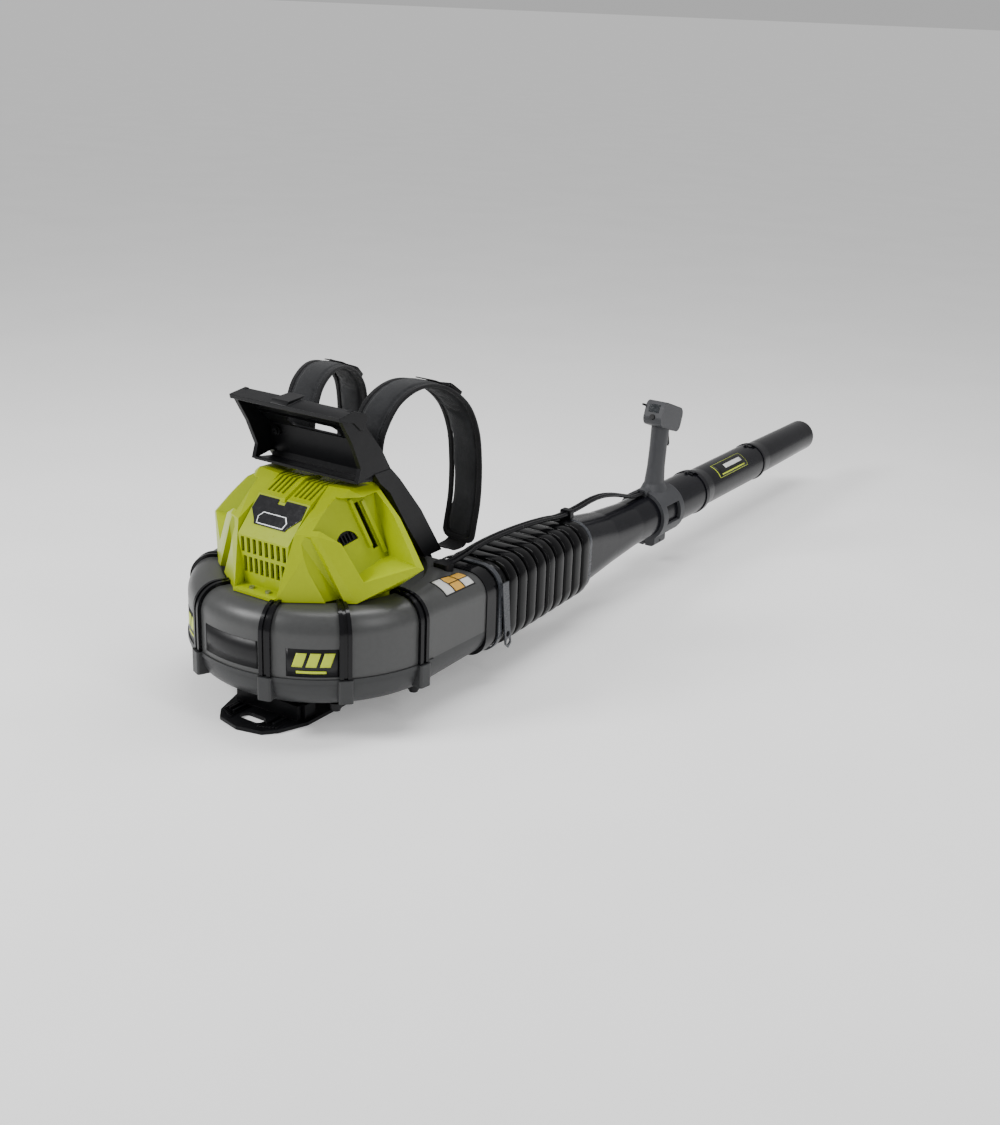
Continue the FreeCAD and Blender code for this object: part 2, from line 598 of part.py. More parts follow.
def along_strap(box, index):
    """Place a piece made flat (x across, y along, z out) on the strap near one of its points."""
    here, after = strap_points[index], strap_points[index + 1]
    tangent = (after - here).normalize()
    across = (SIDE - tangent * tangent.x).normalize()
    placed = box.copy()
    placed.Placement = FreeCAD.Placement((here + after) * 0.5,
                                         FreeCAD.Rotation(across, tangent, across.cross(tangent), "ZXY"))
    return placed


buckle = soft_block(-27, 27, -15, 15, 7.5, 13, 4)
buckle = buckle.cut([block(-21, 21, -10, -3, 5, 15), block(-21, 21, 3, 10, 5, 15)])
save("strap_buckle_right", along_strap(buckle, 4))
save("strap_buckle_left", mirror(along_strap(buckle, 4)))

# ---------------------------------------------------------------- outlet and tubes
def shell_loft(stations, wall):
    """Hollow run through rounded rectangles (y, x half, z low, z high, radius) about the tube's axis."""
    past_end = {stations[0][0]: -1, stations[-1][0]: 1}
    outer, inner = [], []
    for y, half, low, high, radius in stations:
        outer.append(frame_wire(y, TUBE_X - half, TUBE_X + half, low, high, [radius] * 4))
        inner.append(frame_wire(y + past_end.get(y, 0), TUBE_X - half + wall, TUBE_X + half - wall,
                                low + wall, high - wall, [radius - wall] * 4))
    return loft(outer).cut(loft(inner))


def sleeve(y0, y1, half, low, high, radius):
    """Solid rounded-rectangle plug about the tube's axis."""
    return loft([frame_wire(y, TUBE_X - half, TUBE_X + half, low, high, [radius] * 4) for y in (y0, y1)])


SLEEVE_END = BELLOWS_START + 16
collar = sleeve(DUCT_END, 166, 62, 50, 194, 38).fuse(sleeve(160, SLEEVE_END, 58.5, 54, 190, 36))
collar = collar.cut(sleeve(DUCT_END - 1, SLEEVE_END + 1, 55.5, 57, 187, 33)).removeSplitter()
save("outlet_collar", collar)

tail_outline = [(172, 172), (190, 172), (198, 100), (204, 62), (196, 54), (187, 62), (182, 100)]
tail = slab(tail_outline, 216.4, 219.0)
tail = tail.cut([rod(5.5, V(210, 195, 66), V(230, 195, 66)), rod(5, V(210, 193, 80), V(230, 193, 80))])
tail = tail.fuse(block(213, 217, 172, 181, 150, 168))
band = shell_loft([(171, 64.5, 47.5, 196.5, 39), (181, 64.5, 47.5, 196.5, 39)], 3)
save("clamp_rear", join(band, tail))

RIDGES, RIDGES_START = 9, 200.0
stations = [(y, 61.3, 51.2, 192.8, 38) for y in (168, BELLOWS_START, RIDGES_START - 3)]
pitch = (BELLOWS_END - RIDGES_START) / RIDGES
for k in range(RIDGES):
    for part, swell in ((0, -4), (0.28, 3), (0.72, 3)):
        y = RIDGES_START + pitch * (k + part)
        share = (y - BELLOWS_START) / (BELLOWS_END - BELLOWS_START)
        half = 62 - 8 * share + swell
        low, high = 50 + 6 * share - swell, 193 - 6 * share + swell
        stations.append((y, half, low, high, 38 + swell * 0.5))
stations += [(y, 50.2, 58.8, 184.2, 36) for y in (BELLOWS_END, BELLOWS_END + 12)]
bellows = shell_loft(stations, 2.0)
bellows = bellows.cut(sleeve(150, SLEEVE_END + 1, 58.5, 54, 190, 36))
save("bellows", max(bellows.Solids, key=lambda s: s.Volume))

cone = shell_loft([(BELLOWS_END - 10, 48, 61.2, 181.8, 36), (BELLOWS_END + 20, 48, 61.2, 181.8, 36),
                   (590, 45, 68, 168, 41),
                   (TAPER_END, LOWER_R, TUBE_Z - LOWER_R, TUBE_Z + LOWER_R, LOWER_R - 0.5)], TUBE_WALL)
BAND_Y = BELLOWS_END + 6
front_band = shell_loft([(BAND_Y - 4, 53, 56, 187, 37), (BAND_Y + 4, 53, 56, 187, 37)], 2.5)
lug = soft_block(TUBE_X - 10, TUBE_X + 10, BAND_Y - 4, BAND_Y + 4, 43, 57, 3, ALONG)
bolt_at = V(TUBE_X, BAND_Y, 49)
front_band = join(front_band, lug).cut(rod(2.5, bolt_at - SIDE * 12, bolt_at + SIDE * 12))
save("clamp_front", front_band)
save("clamp_bolt", join(rod(2.5, bolt_at - SIDE * 13, bolt_at + SIDE * 12),
                        rod(4.5, bolt_at + SIDE * 10, bolt_at + SIDE * 14)))


def on_axis(y, up=0.0, out=0.0):
    """Point at a distance along the tube, up from its axis and out to the right."""
    return V(TUBE_X + out, y, TUBE_Z + up)


def tube_solid(stations):
    """Solid of revolution about the tube's axis from (y, radius) stations."""
    closed = [(stations[0][0], 0), *stations, (stations[-1][0], 0)]
    line = [V(TUBE_X, y, TUBE_Z + r) for y, r in closed]
    return Part.Face(Part.makePolygon(line + line[:1])).revolve(on_axis(0), ALONG, 360)


def sector(y0, y1, r0, r1, start, sweep):
    """Piece of a ring about the tube's axis; angles from straight up toward the right."""
    corners = [V(TUBE_X, y, TUBE_Z + r) for y, r in ((y0, r0), (y1, r0), (y1, r1), (y0, r1))]
    piece = Part.Face(Part.makePolygon(corners + corners[:1])).revolve(on_axis(0), ALONG, sweep)
    return piece.rotate(on_axis(0), ALONG, start)


PEG_R, PEG_TURN = 4.0, 20.0


def bayonet_slot(end, radius):
    """L-shaped slot for a locking peg: in from the tube's end, then round to the locked place."""
    peg_y = end - SPIGOT / 2
    reach = PEG_R + 0.4
    half = math.degrees(reach / radius)
    hook = sector(peg_y - reach, peg_y + reach, radius - 6, radius + 4, -half, PEG_TURN + 2 * half)
    entry = sector(peg_y, end + 2, radius - 6, radius + 4, PEG_TURN - half, 2 * half)
    return hook.fuse(entry)


def next_tube(start, end, radius, tip_radius, inside, open_end):
    """Tube with a spigot that goes back into the tube before it, and a locking peg on the spigot."""
    spigot_r = inside - FIT
    outer = tube_solid([(start - SPIGOT, spigot_r), (start + FIT, spigot_r), (start + FIT, inside + 4),
                        (start + 7, inside + 4), (start + 9, inside + 1.5), (start + 40, radius),
                        (end - 30, tip_radius), (end, tip_radius)])
    bore = tube_solid([(start - SPIGOT - 1, spigot_r - TUBE_WALL), (start + 9, spigot_r - TUBE_WALL),
                       (start + 40, radius - TUBE_WALL), (end - 30, tip_radius - TUBE_WALL),
                       (end + 1, tip_radius - TUBE_WALL)])
    peg = rod(PEG_R, on_axis(start - SPIGOT / 2, spigot_r - 1.5), on_axis(start - SPIGOT / 2, spigot_r + 6.5))
    tube = outer.cut(bore).fuse(peg)
    if open_end:
        tube = tube.cut(bayonet_slot(end, tip_radius))
    return tube


straight = pipe(LOWER_R, LOWER_R - TUBE_WALL, on_axis(TAPER_END), on_axis(LOWER_END))
rim = sector(LOWER_END - 6, LOWER_END, LOWER_R - 1, LOWER_R + 2, 0, 360)
save("lower_tube", cone.fuse([straight, rim]).cut(bayonet_slot(LOWER_END, LOWER_R)).removeSplitter())
LOWER_BORE = LOWER_R - TUBE_WALL
MID_BORE = MID_R - TUBE_WALL
save("mid_tube", next_tube(LOWER_END, MID_END, MID_R, MID_R, LOWER_BORE, True))
nozzle_tube = next_tube(MID_END, NOZZLE_END, NOZZLE_R, NOZZLE_R - 2, MID_BORE, False)
save("nozzle", nozzle_tube)

# ---------------------------------------------------------------- control handle
CUFF_BORE = LOWER_R + FIT
cuff_front, cuff_back = CUFF_Y + CUFF_LEN / 2, CUFF_Y - CUFF_LEN / 2


def oval(z, y, half_x, half_y):
    """Ellipse lying flat, longer along the tube than across it."""
    ellipse = Part.Ellipse(V(TUBE_X, y + half_y, z), V(TUBE_X + half_x, y, z), V(TUBE_X, y, z))
    return Part.Wire(ellipse.toShape())


def grip_solid(inset, z0, z1):
    """The grip's outside, or its inside when inset, between two heights."""
    rows = []
    for z, a, b in ((TUBE_Z + 40, 26, 38), (TUBE_Z + 60, 17.5, 25), (TUBE_Z + 90, 16, 20.5),
                    (TUBE_Z + 130, 16, 19.5), (TUBE_Z + 180, 17, 20)):
        y = CUFF_Y + (z - TUBE_Z - 50) * math.tan(math.radians(GRIP_LEAN))
        rows.append(oval(z, y, a - inset, b - inset))
    solid = Part.makeLoft(rows, True, True)
    return solid.common(block(TUBE_X - 60, TUBE_X + 60, CUFF_Y - 90, CUFF_Y + 120, z0, z1))


SADDLE_TOP = TUBE_Z + 58
window = block(TUBE_X + 10, TUBE_X + 60, CUFF_Y - 24, CUFF_Y + 26, TUBE_Z - 12, TUBE_Z + 24)
cuff = rod(CUFF_R, on_axis(cuff_back), on_axis(cuff_front))
lugs = soft_block(TUBE_X - 22, TUBE_X + 22, CUFF_Y - 22, CUFF_Y + 22, TUBE_Z - 64, TUBE_Z - 40, 8, ALONG)
bore = rod(CUFF_BORE, on_axis(cuff_back - 10), on_axis(cuff_front + 10))
slit = block(TUBE_X - 2, TUBE_X + 2, cuff_back - 5, cuff_front + 5, TUBE_Z - 70, TUBE_Z)
knob_axis = TUBE_Z - 56
cable_socket = soft_block(TUBE_X - 10, TUBE_X + 10, cuff_back - 8, cuff_back + 8,
                          TUBE_Z + 40, TUBE_Z + 55, 5, ALONG)
knob_at = V(TUBE_X, CUFF_Y, knob_axis)
cuff = join(cuff, lugs, grip_solid(0, TUBE_Z + 41, SADDLE_TOP), cable_socket)
cuff = cuff.cut([bore, slit, window, rod(3.3, knob_at - SIDE * 30, knob_at + SIDE * 30),
                 rod(8, on_axis(CUFF_Y + 3, 40), on_axis(CUFF_Y + 3, 70))])
save("handle_clamp", cuff)

knob_wings = soft_block(TUBE_X - 43, TUBE_X - 33, CUFF_Y - 15, CUFF_Y + 15,
                        knob_axis - 4, knob_axis + 4, 3, SIDE)
knob = join(rod(3, knob_at - SIDE * 24, knob_at + SIDE * 21),
            rod(10, knob_at - SIDE * 43, knob_at - SIDE * 23), knob_wings)
save("clamp_knob", knob)

HEAD_PITCH = -20.0
HEAD_PIVOT = V(TUBE_X, CUFF_Y + 12, HEAD_Z + 14)


def in_head(shape):
    """Tilt a piece with the head, nose down."""
    return shape.rotate(HEAD_PIVOT, SIDE, HEAD_PITCH)


def head_solid(inset):
    y0, y1 = HEAD_PIVOT.y - 38, HEAD_PIVOT.y + 50
    body = soft_block(TUBE_X - 19 + inset, TUBE_X + 19 - inset, y0 + inset, y1 - inset,
                      HEAD_PIVOT.z - 22 + inset, HEAD_PIVOT.z + 25 - inset, 15 - inset, SIDE)
    return in_head(body)


shell = grip_solid(0, SADDLE_TOP, HEAD_Z + 6).fuse(head_solid(0))
shell = shell.cut(grip_solid(2.5, SADDLE_TOP - 5, HEAD_Z + 6).fuse(head_solid(2.5)))
PIN = V(TUBE_X, CUFF_Y + 25, HEAD_Z - 8)
trigger_gap = block(TUBE_X - 6.6, TUBE_X + 6.6, PIN.y - 8, PIN.y + 40, HEAD_Z - 56, HEAD_Z)
button_at = HEAD_PIVOT + V(0, -38, -8)
lever_at = HEAD_PIVOT + V(-19, -24, 12)
shell = shell.cut([trigger_gap, rod(2.05, PIN - SIDE * 15, PIN + SIDE * 15),
                   in_head(rod(5.3, button_at - ALONG * 3, button_at + ALONG * 6)),
                   in_head(rod(2.8, lever_at - SIDE * 3, lever_at + SIDE * 6)),
                   in_head(block(TUBE_X - 11, TUBE_X + 11, HEAD_PIVOT.y - 39, HEAD_PIVOT.y - 36.5,
                                 HEAD_PIVOT.z + 1, HEAD_PIVOT.z + 17))])
shell = max(shell.Solids, key=lambda s: s.Volume)
left_side = block(TUBE_X - 80, TUBE_X, CUFF_Y - 100, CUFF_Y + 150, TUBE_Z, 400)
for name, half in (("grip_left", shell.common(left_side)), ("grip_right", shell.cut(left_side))):
    save(name, max(half.Solids, key=lambda s: s.Volume))
save("trigger_pin", rod(2, PIN - SIDE * 14, PIN + SIDE * 14))

FINGER = ((-5, -6), (-5, 4), (4, 5), (9, -4), (11, -16), (17, -38), (13, -42), (6, -32), (2, -20))
finger = [(PIN.y + y, PIN.z + z) for y, z in FINGER]
trigger = slab(finger, TUBE_X - 6, TUBE_X + 6).cut(rod(2.1, PIN - SIDE * 8, PIN + SIDE * 8))
save("trigger", trigger)
save("handle_switch", block(TUBE_X - 6, TUBE_X + 6, PIN.y - 29, PIN.y - 14, PIN.z - 32, PIN.z - 8))
save("trigger_spring", pipe(3.2, 2.2, PIN + V(0, -13.9, -20), PIN + V(0, -2.5, -20)))

lever_arm = block(lever_at.x - 4, lever_at.x - 0.6, lever_at.y - 22, lever_at.y,
                  lever_at.z - 2, lever_at.z + 2)
lever = join(rod(2.5, lever_at - SIDE, lever_at + SIDE * 4),
             rod(5, lever_at - SIDE * 4, lever_at - SIDE * 0.4), lever_arm)
save("cruise_lever", in_head(lever))
save("power_button", in_head(rod(5, button_at - ALONG * 2.5, button_at + ALONG * 5)))
save("display_window", in_head(block(TUBE_X - 10.8, TUBE_X + 10.8, HEAD_PIVOT.y - 38.6, HEAD_PIVOT.y - 36.5,
                                     HEAD_PIVOT.z + 1.2, HEAD_PIVOT.z + 16.8)))

# ---------------------------------------------------------------- cables
CABLE_R = 3.5
CLIP = V(TUBE_X, BAND_Y, 198)
clip = soft_block(TUBE_X - 11, TUBE_X + 11, BAND_Y - 6, BAND_Y + 6, 187, 205, 4, ALONG)
save("cable_clip", clip)
GLAND = V(142, 118, 192)
gland_base = soft_block(GLAND.x - 14, GLAND.x + 14, GLAND.y - 12, GLAND.y + 10, 188, 207, 5)
gland_base = gland_base.cut([duct(0, DUCT_END), ring_outside])
REAR_ROUTE = [(0, 10, 10.5), (0, 34, 10.5), (2, 90, 20), (5, 160, 22), (7, 230, 19), (8, 290, 13),
              (8, 326, 6), (8, 352, 6)]
FRONT_ROUTE = [(6, 0), (34, 0), (80, 4), (120, 2), (160, -6), (200, -18), (240, -31), (274, -31)]


def pair(points, name):
    """Two cables side by side."""
    return [cord([p + V(sx * 4.2, 0, 0) for p in points], CABLE_R, name) for sx in (1, -1)]


rear_points = [V(GLAND.x + x, GLAND.y + y, GLAND.z + z) for x, y, z in REAR_ROUTE]
save("cable_rear", *pair(rear_points, "rear"))
save("cable_gland", gland_base)
save("cable_front", *pair([CLIP + V(0, y, z) for y, z in FRONT_ROUTE], "front"))
WELL_SCREWS_R = 100.0
spots = [V(WELL_SCREWS_R * math.cos(a), WELL_SCREWS_R * math.sin(a), WELL_Z + 3)
         for a in (math.radians(75), math.radians(105))]
save("cover_screws", *[rod(4.5, p, p + UP * 3).fuse(rod(2.5, p - UP * 4.8, p)) for p in LEDGE_SCREWS],
     *[rod(4.5, p, p + UP * 3) for p in spots])
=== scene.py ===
"""Looks of the backpack leaf blower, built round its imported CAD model.

Metres, in the CAD model's frame: +X is the wearer's right, +Y the way the tube blows, +Z is up.
"""
import math

import bmesh
import bpy
import numpy as np
from mathutils import Matrix, Vector
from mathutils.kdtree import KDTree


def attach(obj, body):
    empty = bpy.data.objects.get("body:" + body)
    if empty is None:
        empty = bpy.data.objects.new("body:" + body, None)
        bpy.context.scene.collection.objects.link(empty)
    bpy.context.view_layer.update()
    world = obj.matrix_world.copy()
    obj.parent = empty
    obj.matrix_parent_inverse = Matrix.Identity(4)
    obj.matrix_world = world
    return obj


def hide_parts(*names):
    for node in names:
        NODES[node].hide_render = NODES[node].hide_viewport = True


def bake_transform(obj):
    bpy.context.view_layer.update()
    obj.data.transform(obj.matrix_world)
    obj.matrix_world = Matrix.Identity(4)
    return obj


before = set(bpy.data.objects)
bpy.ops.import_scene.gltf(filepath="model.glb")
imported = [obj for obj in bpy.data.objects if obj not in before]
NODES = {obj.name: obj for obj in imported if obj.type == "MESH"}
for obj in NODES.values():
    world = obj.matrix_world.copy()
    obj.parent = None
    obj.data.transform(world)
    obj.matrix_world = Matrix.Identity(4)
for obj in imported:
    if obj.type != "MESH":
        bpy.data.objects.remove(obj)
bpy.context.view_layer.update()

SIDE = np.array([1.0, 0.0, 0.0])

# ---------------------------------------------------------------- camera
CAMERA_AIM = Vector((0.13494, 0.29003, 0.15471))
CAMERA_AZIMUTH, CAMERA_ELEVATION, CAMERA_ROLL = (math.radians(a) for a in (33.1, 20.46, 2.22))
CAMERA_DISTANCE = 2.51405
CAMERA_LENS = 48.0
CAMERA_REACH = 1000                     # past the floor's far edge

back = Vector((math.sin(CAMERA_AZIMUTH) * math.cos(CAMERA_ELEVATION),
               -math.cos(CAMERA_AZIMUTH) * math.cos(CAMERA_ELEVATION), math.sin(CAMERA_ELEVATION)))
level = Vector((0, 0, 1)).cross(back).normalized()
upright = back.cross(level)
right = level * math.cos(CAMERA_ROLL) + upright * math.sin(CAMERA_ROLL)
up = upright * math.cos(CAMERA_ROLL) - level * math.sin(CAMERA_ROLL)
camera = bpy.data.objects.new("camera", bpy.data.cameras.new("camera"))
camera.data.lens = CAMERA_LENS
camera.data.clip_end = CAMERA_REACH
camera.matrix_world = Matrix.Translation(CAMERA_AIM + back * CAMERA_DISTANCE) @ Matrix(
    (right, up, back)).transposed().to_4x4()
bpy.context.scene.collection.objects.link(camera)
bpy.context.scene.camera = camera


# ---------------------------------------------------------------- mesh helpers
SPAN_STEPS = 24                         # points worked out between two given points of a line


def new_piece(name, verts, faces, smooth=True):
    """A mesh object with outward faces."""
    mesh = bpy.data.meshes.new(name)
    mesh.from_pydata([tuple(map(float, v)) for v in verts], [], [tuple(f) for f in faces])
    work = bmesh.new()
    work.from_mesh(mesh)
    bmesh.ops.recalc_face_normals(work, faces=work.faces)
    work.to_mesh(mesh)
    work.free()
    for face in mesh.polygons:
        face.use_smooth = smooth
    piece = bpy.data.objects.new(name, mesh)
    bpy.context.scene.collection.objects.link(piece)
    return piece


def join_meshes(parts):
    """One list of vertices and faces from several (vertices, faces) pairs."""
    verts, faces = [], []
    for part_verts, part_faces in parts:
        start = len(verts)
        verts += list(part_verts)
        faces += [tuple(i + start for i in f) for f in part_faces]
    return verts, faces


def unit(v):
    """Vectors brought to length 1."""
    v = np.asarray(v, float)
    return v / np.maximum(np.linalg.norm(v, axis=-1, keepdims=True), 1e-12)


def tangents(path, closed=False):
    """Direction of travel at each point of a path."""
    if closed:
        return unit(np.roll(path, -1, 0) - np.roll(path, 1, 0))
    return unit(np.gradient(path, axis=0))


def sweep(path, across, section, closed=False, scale=None):
    """Carries a closed section along a path. across is the section's first axis at each point."""
    path, section = np.asarray(path, float), np.asarray(section, float)
    along = tangents(path, closed)
    first = np.broadcast_to(np.asarray(across, float), path.shape)
    first = unit(first - along * (first * along).sum(1, keepdims=True))
    second = np.cross(first, along)
    scale = np.ones(len(path)) if scale is None else np.asarray(scale, float)
    rings = [p + (section[:, :1] * a + section[:, 1:] * b) * k
             for p, a, b, k in zip(path, first, second, scale)]
    return skin(rings, closed)


def skin(rings, closed=False):
    """Faces between rings of equal size, with caps on an open run."""
    count, size = len(rings), len(rings[0])
    verts = [v for ring in rings for v in ring]
    faces = []
    for i in range(count if closed else count - 1):
        a, b = i * size, (i + 1) % count * size
        faces += [(a + j, a + (j + 1) % size, b + (j + 1) % size, b + j) for j in range(size)]
    if not closed:
        faces += [tuple(range(size)), tuple(range((count - 1) * size, count * size))]
    return verts, faces


def circle(radius, count):
    """Round closed section."""
    turn = np.linspace(0, 2 * math.pi, count, endpoint=False)
    return np.stack([radius * np.cos(turn), radius * np.sin(turn)], 1)


def rounded(half_width, half_height, radius, steps=4):
    """Rounded rectangle as a closed section."""
    points = []
    for k, (sx, sy) in enumerate(((1, 1), (-1, 1), (-1, -1), (1, -1))):
        for turn in np.linspace(k * math.pi / 2, (k + 1) * math.pi / 2, steps + 1):
            points.append((sx * (half_width - radius) + radius * math.cos(turn),
                           sy * (half_height - radius) + radius * math.sin(turn)))
    return np.array(points)


def spline_through(points, count):
    """Even points on a smooth line through the given points (Catmull-Rom)."""
    p = np.asarray(points, float)
    p = np.vstack([2 * p[0] - p[1], p, 2 * p[-1] - p[-2]])
    fine = []
    for i in range(1, len(p) - 2):
        for t in np.linspace(0, 1, SPAN_STEPS, endpoint=False):
            fine.append(0.5 * (2 * p[i] + (p[i + 1] - p[i - 1]) * t
                               + (2 * p[i - 1] - 5 * p[i] + 4 * p[i + 1] - p[i + 2]) * t ** 2
                               + (3 * p[i] - p[i - 1] - 3 * p[i + 1] + p[i + 2]) * t ** 3))
    fine = np.array(fine + [p[-2]])
    return even(fine, count)


def run_length(path):
    """Distance from the start at each point of a path."""
    return np.concatenate([[0], np.cumsum(np.linalg.norm(np.diff(path, axis=0), axis=1))])


def even(path, count):
    """The path with evenly spaced points."""
    along = run_length(path)
    stops = np.linspace(0, along[-1], count)
    return np.stack([np.interp(stops, along, path[:, k]) for k in range(3)], 1)


# ---------------------------------------------------------------- cables
CABLE_R = 0.0035
CABLE_GAP = 0.0042                      # half the distance between the two cables
CABLE_STEP = 0.003                      # distance between points of a cable's path
GLAND = np.array([0.142, 0.118, 0.192])
CLIP = np.array([0.150, 0.476, 0.198])
REAR_ROUTE = [(0, 0.010, 0.0105), (0, 0.034, 0.0105), (0.002, 0.090, 0.020), (0.005, 0.160, 0.022),
              (0.007, 0.230, 0.019), (0.008, 0.290, 0.013), (0.008, 0.326, 0.006), (0.008, 0.352, 0.006)]
FRONT_ROUTE = [(0, 0.006, 0), (0, 0.034, 0), (0, 0.080, 0.004), (0, 0.120, 0.002), (0, 0.160, -0.006),
               (0, 0.200, -0.018), (0, 0.240, -0.031), (0, 0.274, -0.031)]
ELBOW_SPLIT = 0.328                     # y where the elbow's rear and front halves meet
YAW_BEND = (0.205, 0.325)               # y range of the soft pieces at the yaw joint, and at the pitch joint; nothing here bends them
PITCH_BEND = (0.331, 0.449)             # with the pitch joint,
TUBE_AXIS = (0.150, 0.118)              # x and z of the tube's centre line


def smooth_route(points):
    """Points read from the route's NURBS line."""
    curve = bpy.data.curves.new("route", "CURVE")
    curve.dimensions = "3D"
    curve.resolution_u = 20
    line = curve.splines.new("NURBS")
    line.points.add(len(points) - 1)
    for place, point in zip(line.points, points):
        place.co = (*point, 1)
    line.order_u = 3
    line.use_endpoint_u = True
    route = bpy.data.objects.new("route", curve)
    bpy.context.scene.collection.objects.link(route)
    bpy.context.view_layer.update()
    mesh = bpy.data.meshes.new_from_object(route)
    path = np.array([v.co for v in mesh.vertices], float)
    bpy.data.objects.remove(route)
    bpy.data.meshes.remove(mesh)
    return path


def cable(name, path):
    """Round cable along a path."""
    path = even(path, int(run_length(path)[-1] / CABLE_STEP))
    piece = new_piece(name, *sweep(path, SIDE, circle(CABLE_R, 16)))
    run_length(path)[-1]
    return piece


cables = []
for side, word in ((1, "right"), (-1, "left")):
    shift = np.array([side * CABLE_GAP, 0, 0])
    rear = smooth_route([GLAND + shift + np.array(p) for p in REAR_ROUTE])
    join_at = np.array([np.interp(ELBOW_SPLIT, rear[:, 1], rear[:, k]) for k in range(3)])
    halves = [np.vstack([rear[rear[:, 1] < ELBOW_SPLIT], join_at]),
              np.vstack([join_at, rear[rear[:, 1] > ELBOW_SPLIT]])]
    for path, half, bodies, bend in zip(halves, ("rear", "middle"), (("root", "elbow"), ("elbow", "tube")),
                                        (YAW_BEND, PITCH_BEND)):
        piece = cable(f"cable_{half}_{word}", path)
        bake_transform(piece)
        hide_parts("cable_rear")
        cables.append(piece)
    front = smooth_route([CLIP + shift + np.array(p) for p in FRONT_ROUTE])
    piece = cable(f"cable_tube_{word}", front)
    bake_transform(piece)
    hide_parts("cable_front")
    cables.append(piece)


# ---------------------------------------------------------------- materials
class Graph:
    """A material's node graph, with short calls to add to it."""

    def __init__(self, name):
        self.material = bpy.data.materials.new(name)
        self.material.use_nodes = True
        self.nodes = self.material.node_tree.nodes
        self.links = self.material.node_tree.links
        self.shader = self.nodes["Principled BSDF"]
        self.places = self.nodes.new("ShaderNodeTexCoord")

    def add(self, kind, inputs=None, **settings):
        node = self.nodes.new(kind)
        for key, value in settings.items():
            setattr(node, key, value)
        for key, value in (inputs or {}).items():
            if isinstance(value, bpy.types.NodeSocket):
                self.links.new(value, node.inputs[key])
            else:
                node.inputs[key].default_value = value
        return node

    def noise(self, scale, detail=3.0, stretch=None, rough=0.5):
        """Noise value with features of about 1/scale metres."""
        coords = self.places.outputs["Object"]
        if stretch:
            coords = self.add("ShaderNodeMapping", {"Vector": coords, "Scale": stretch}).outputs[0]
        return self.add("ShaderNodeTexNoise", {"Vector": coords, "Scale": scale, "Detail": detail,
                                               "Roughness": rough}).outputs[0]

    def remap(self, value, low, high, start=0.3, end=0.7):
        """The value's range from start to end, spread from low to high."""
        return self.add("ShaderNodeMapRange", {"Value": value, "From Min": start, "From Max": end,
                                               "To Min": low, "To Max": high}).outputs[0]

    def mix(self, factor, a, b):
        """Colour between a and b."""
        node = self.add("ShaderNodeMix", {"Factor": factor}, data_type="RGBA")
        for socket, value in ((node.inputs[6], a), (node.inputs[7], b)):
            if isinstance(value, bpy.types.NodeSocket):
                self.links.new(value, socket)
            else:
                socket.default_value = (*value, 1)
        return node.outputs[2]

    def math(self, operation, a, b=0.0):
        return self.add("ShaderNodeMath", {0: a, 1: b}, operation=operation).outputs[0]

    def feed(self, **sockets):
        """Connects or sets sockets of the main shader."""
        for key, value in sockets.items():
            socket = self.shader.inputs[key.replace("_", " ")]
            if isinstance(value, bpy.types.NodeSocket):
                self.links.new(value, socket)
            else:
                socket.default_value = value

    def bump(self, height, distance, under=None):
        node = self.add("ShaderNodeBump", {"Height": height, "Distance": distance})
        if under is not None:
            self.links.new(under, node.inputs["Normal"])
        return node.outputs[0]


DUST = (0.30, 0.29, 0.27)
EDGE_HIGHLIGHT_REACH = 0.0016                       # how far from an edge the painted highlight reaches


def shade(colour, share):
    """The colour times share, no channel above 1."""
    return tuple(min(1.0, c * share) for c in colour)


def plastic(name, colour, roughness, grain=0.00004, grain_scale=2600, spread=0.06, spots=0.10, dust=0.0,
            edge_highlight_and_dye=0.0, shine=0.3):
    """Moulded plastic: fine grain, uneven gloss, faint scuffs, and a painted highlight that makes its edges
    paler.
    """
    g = Graph(name)
    broad, fine = g.noise(9, 4), g.noise(130, 3)
    blotch = g.math("ADD", g.math("MULTIPLY", broad, 0.6), g.math("MULTIPLY", fine, 0.4))
    base = g.mix(g.remap(blotch, 0, 1), shade(colour, 1 - spots), shade(colour, 1 + spots))
    scuffs = g.remap(g.noise(70, 5, stretch=(1, 0.25, 2.5), rough=0.7), 0, 1, 0.58, 0.72)
    # painted highlight: the colour turns paler along edges, where the bevel normal leaves the true normal
    if edge_highlight_and_dye:
        edge = g.add("ShaderNodeBevel", {"Radius": EDGE_HIGHLIGHT_REACH}, samples=4).outputs[0]
        true = g.add("ShaderNodeNewGeometry").outputs["Normal"]
        turn = g.add("ShaderNodeVectorMath", {0: edge, 1: true}, operation="DOT_PRODUCT").outputs["Value"]
        rim = g.math("MULTIPLY", g.remap(turn, 1, 0, 0.72, 0.985), g.remap(fine, 0.4, 1.0))
        base = g.mix(g.math("MULTIPLY", rim, edge_highlight_and_dye), base, shade(colour, 2.2))
    if dust:
        base = g.mix(g.math("MULTIPLY", scuffs, dust), base, DUST)
    gloss = g.math("ADD", g.remap(blotch, roughness - spread, roughness + spread),
                   g.math("MULTIPLY", scuffs, spread))
    g.feed(Base_Color=base, Roughness=gloss, Specular_IOR_Level=shine,
           Normal=g.bump(g.noise(grain_scale, 2), grain, under=g.bump(g.noise(28, 2), 0.00025)))
    return g.material


def metal(name, colour, roughness, brushed=(1, 1, 12)):
    """Plated or ground metal with fine brushing."""
    g = Graph(name)
    lines = g.noise(420, 3, stretch=brushed)
    base = g.mix(g.remap(g.noise(60, 4), 0, 1), shade(colour, 0.82), shade(colour, 1.08))
    g.feed(Base_Color=base, Metallic=1.0, Roughness=g.remap(lines, roughness - 0.08, roughness + 0.1),
           Normal=g.bump(lines, 0.00003))
    return g.material


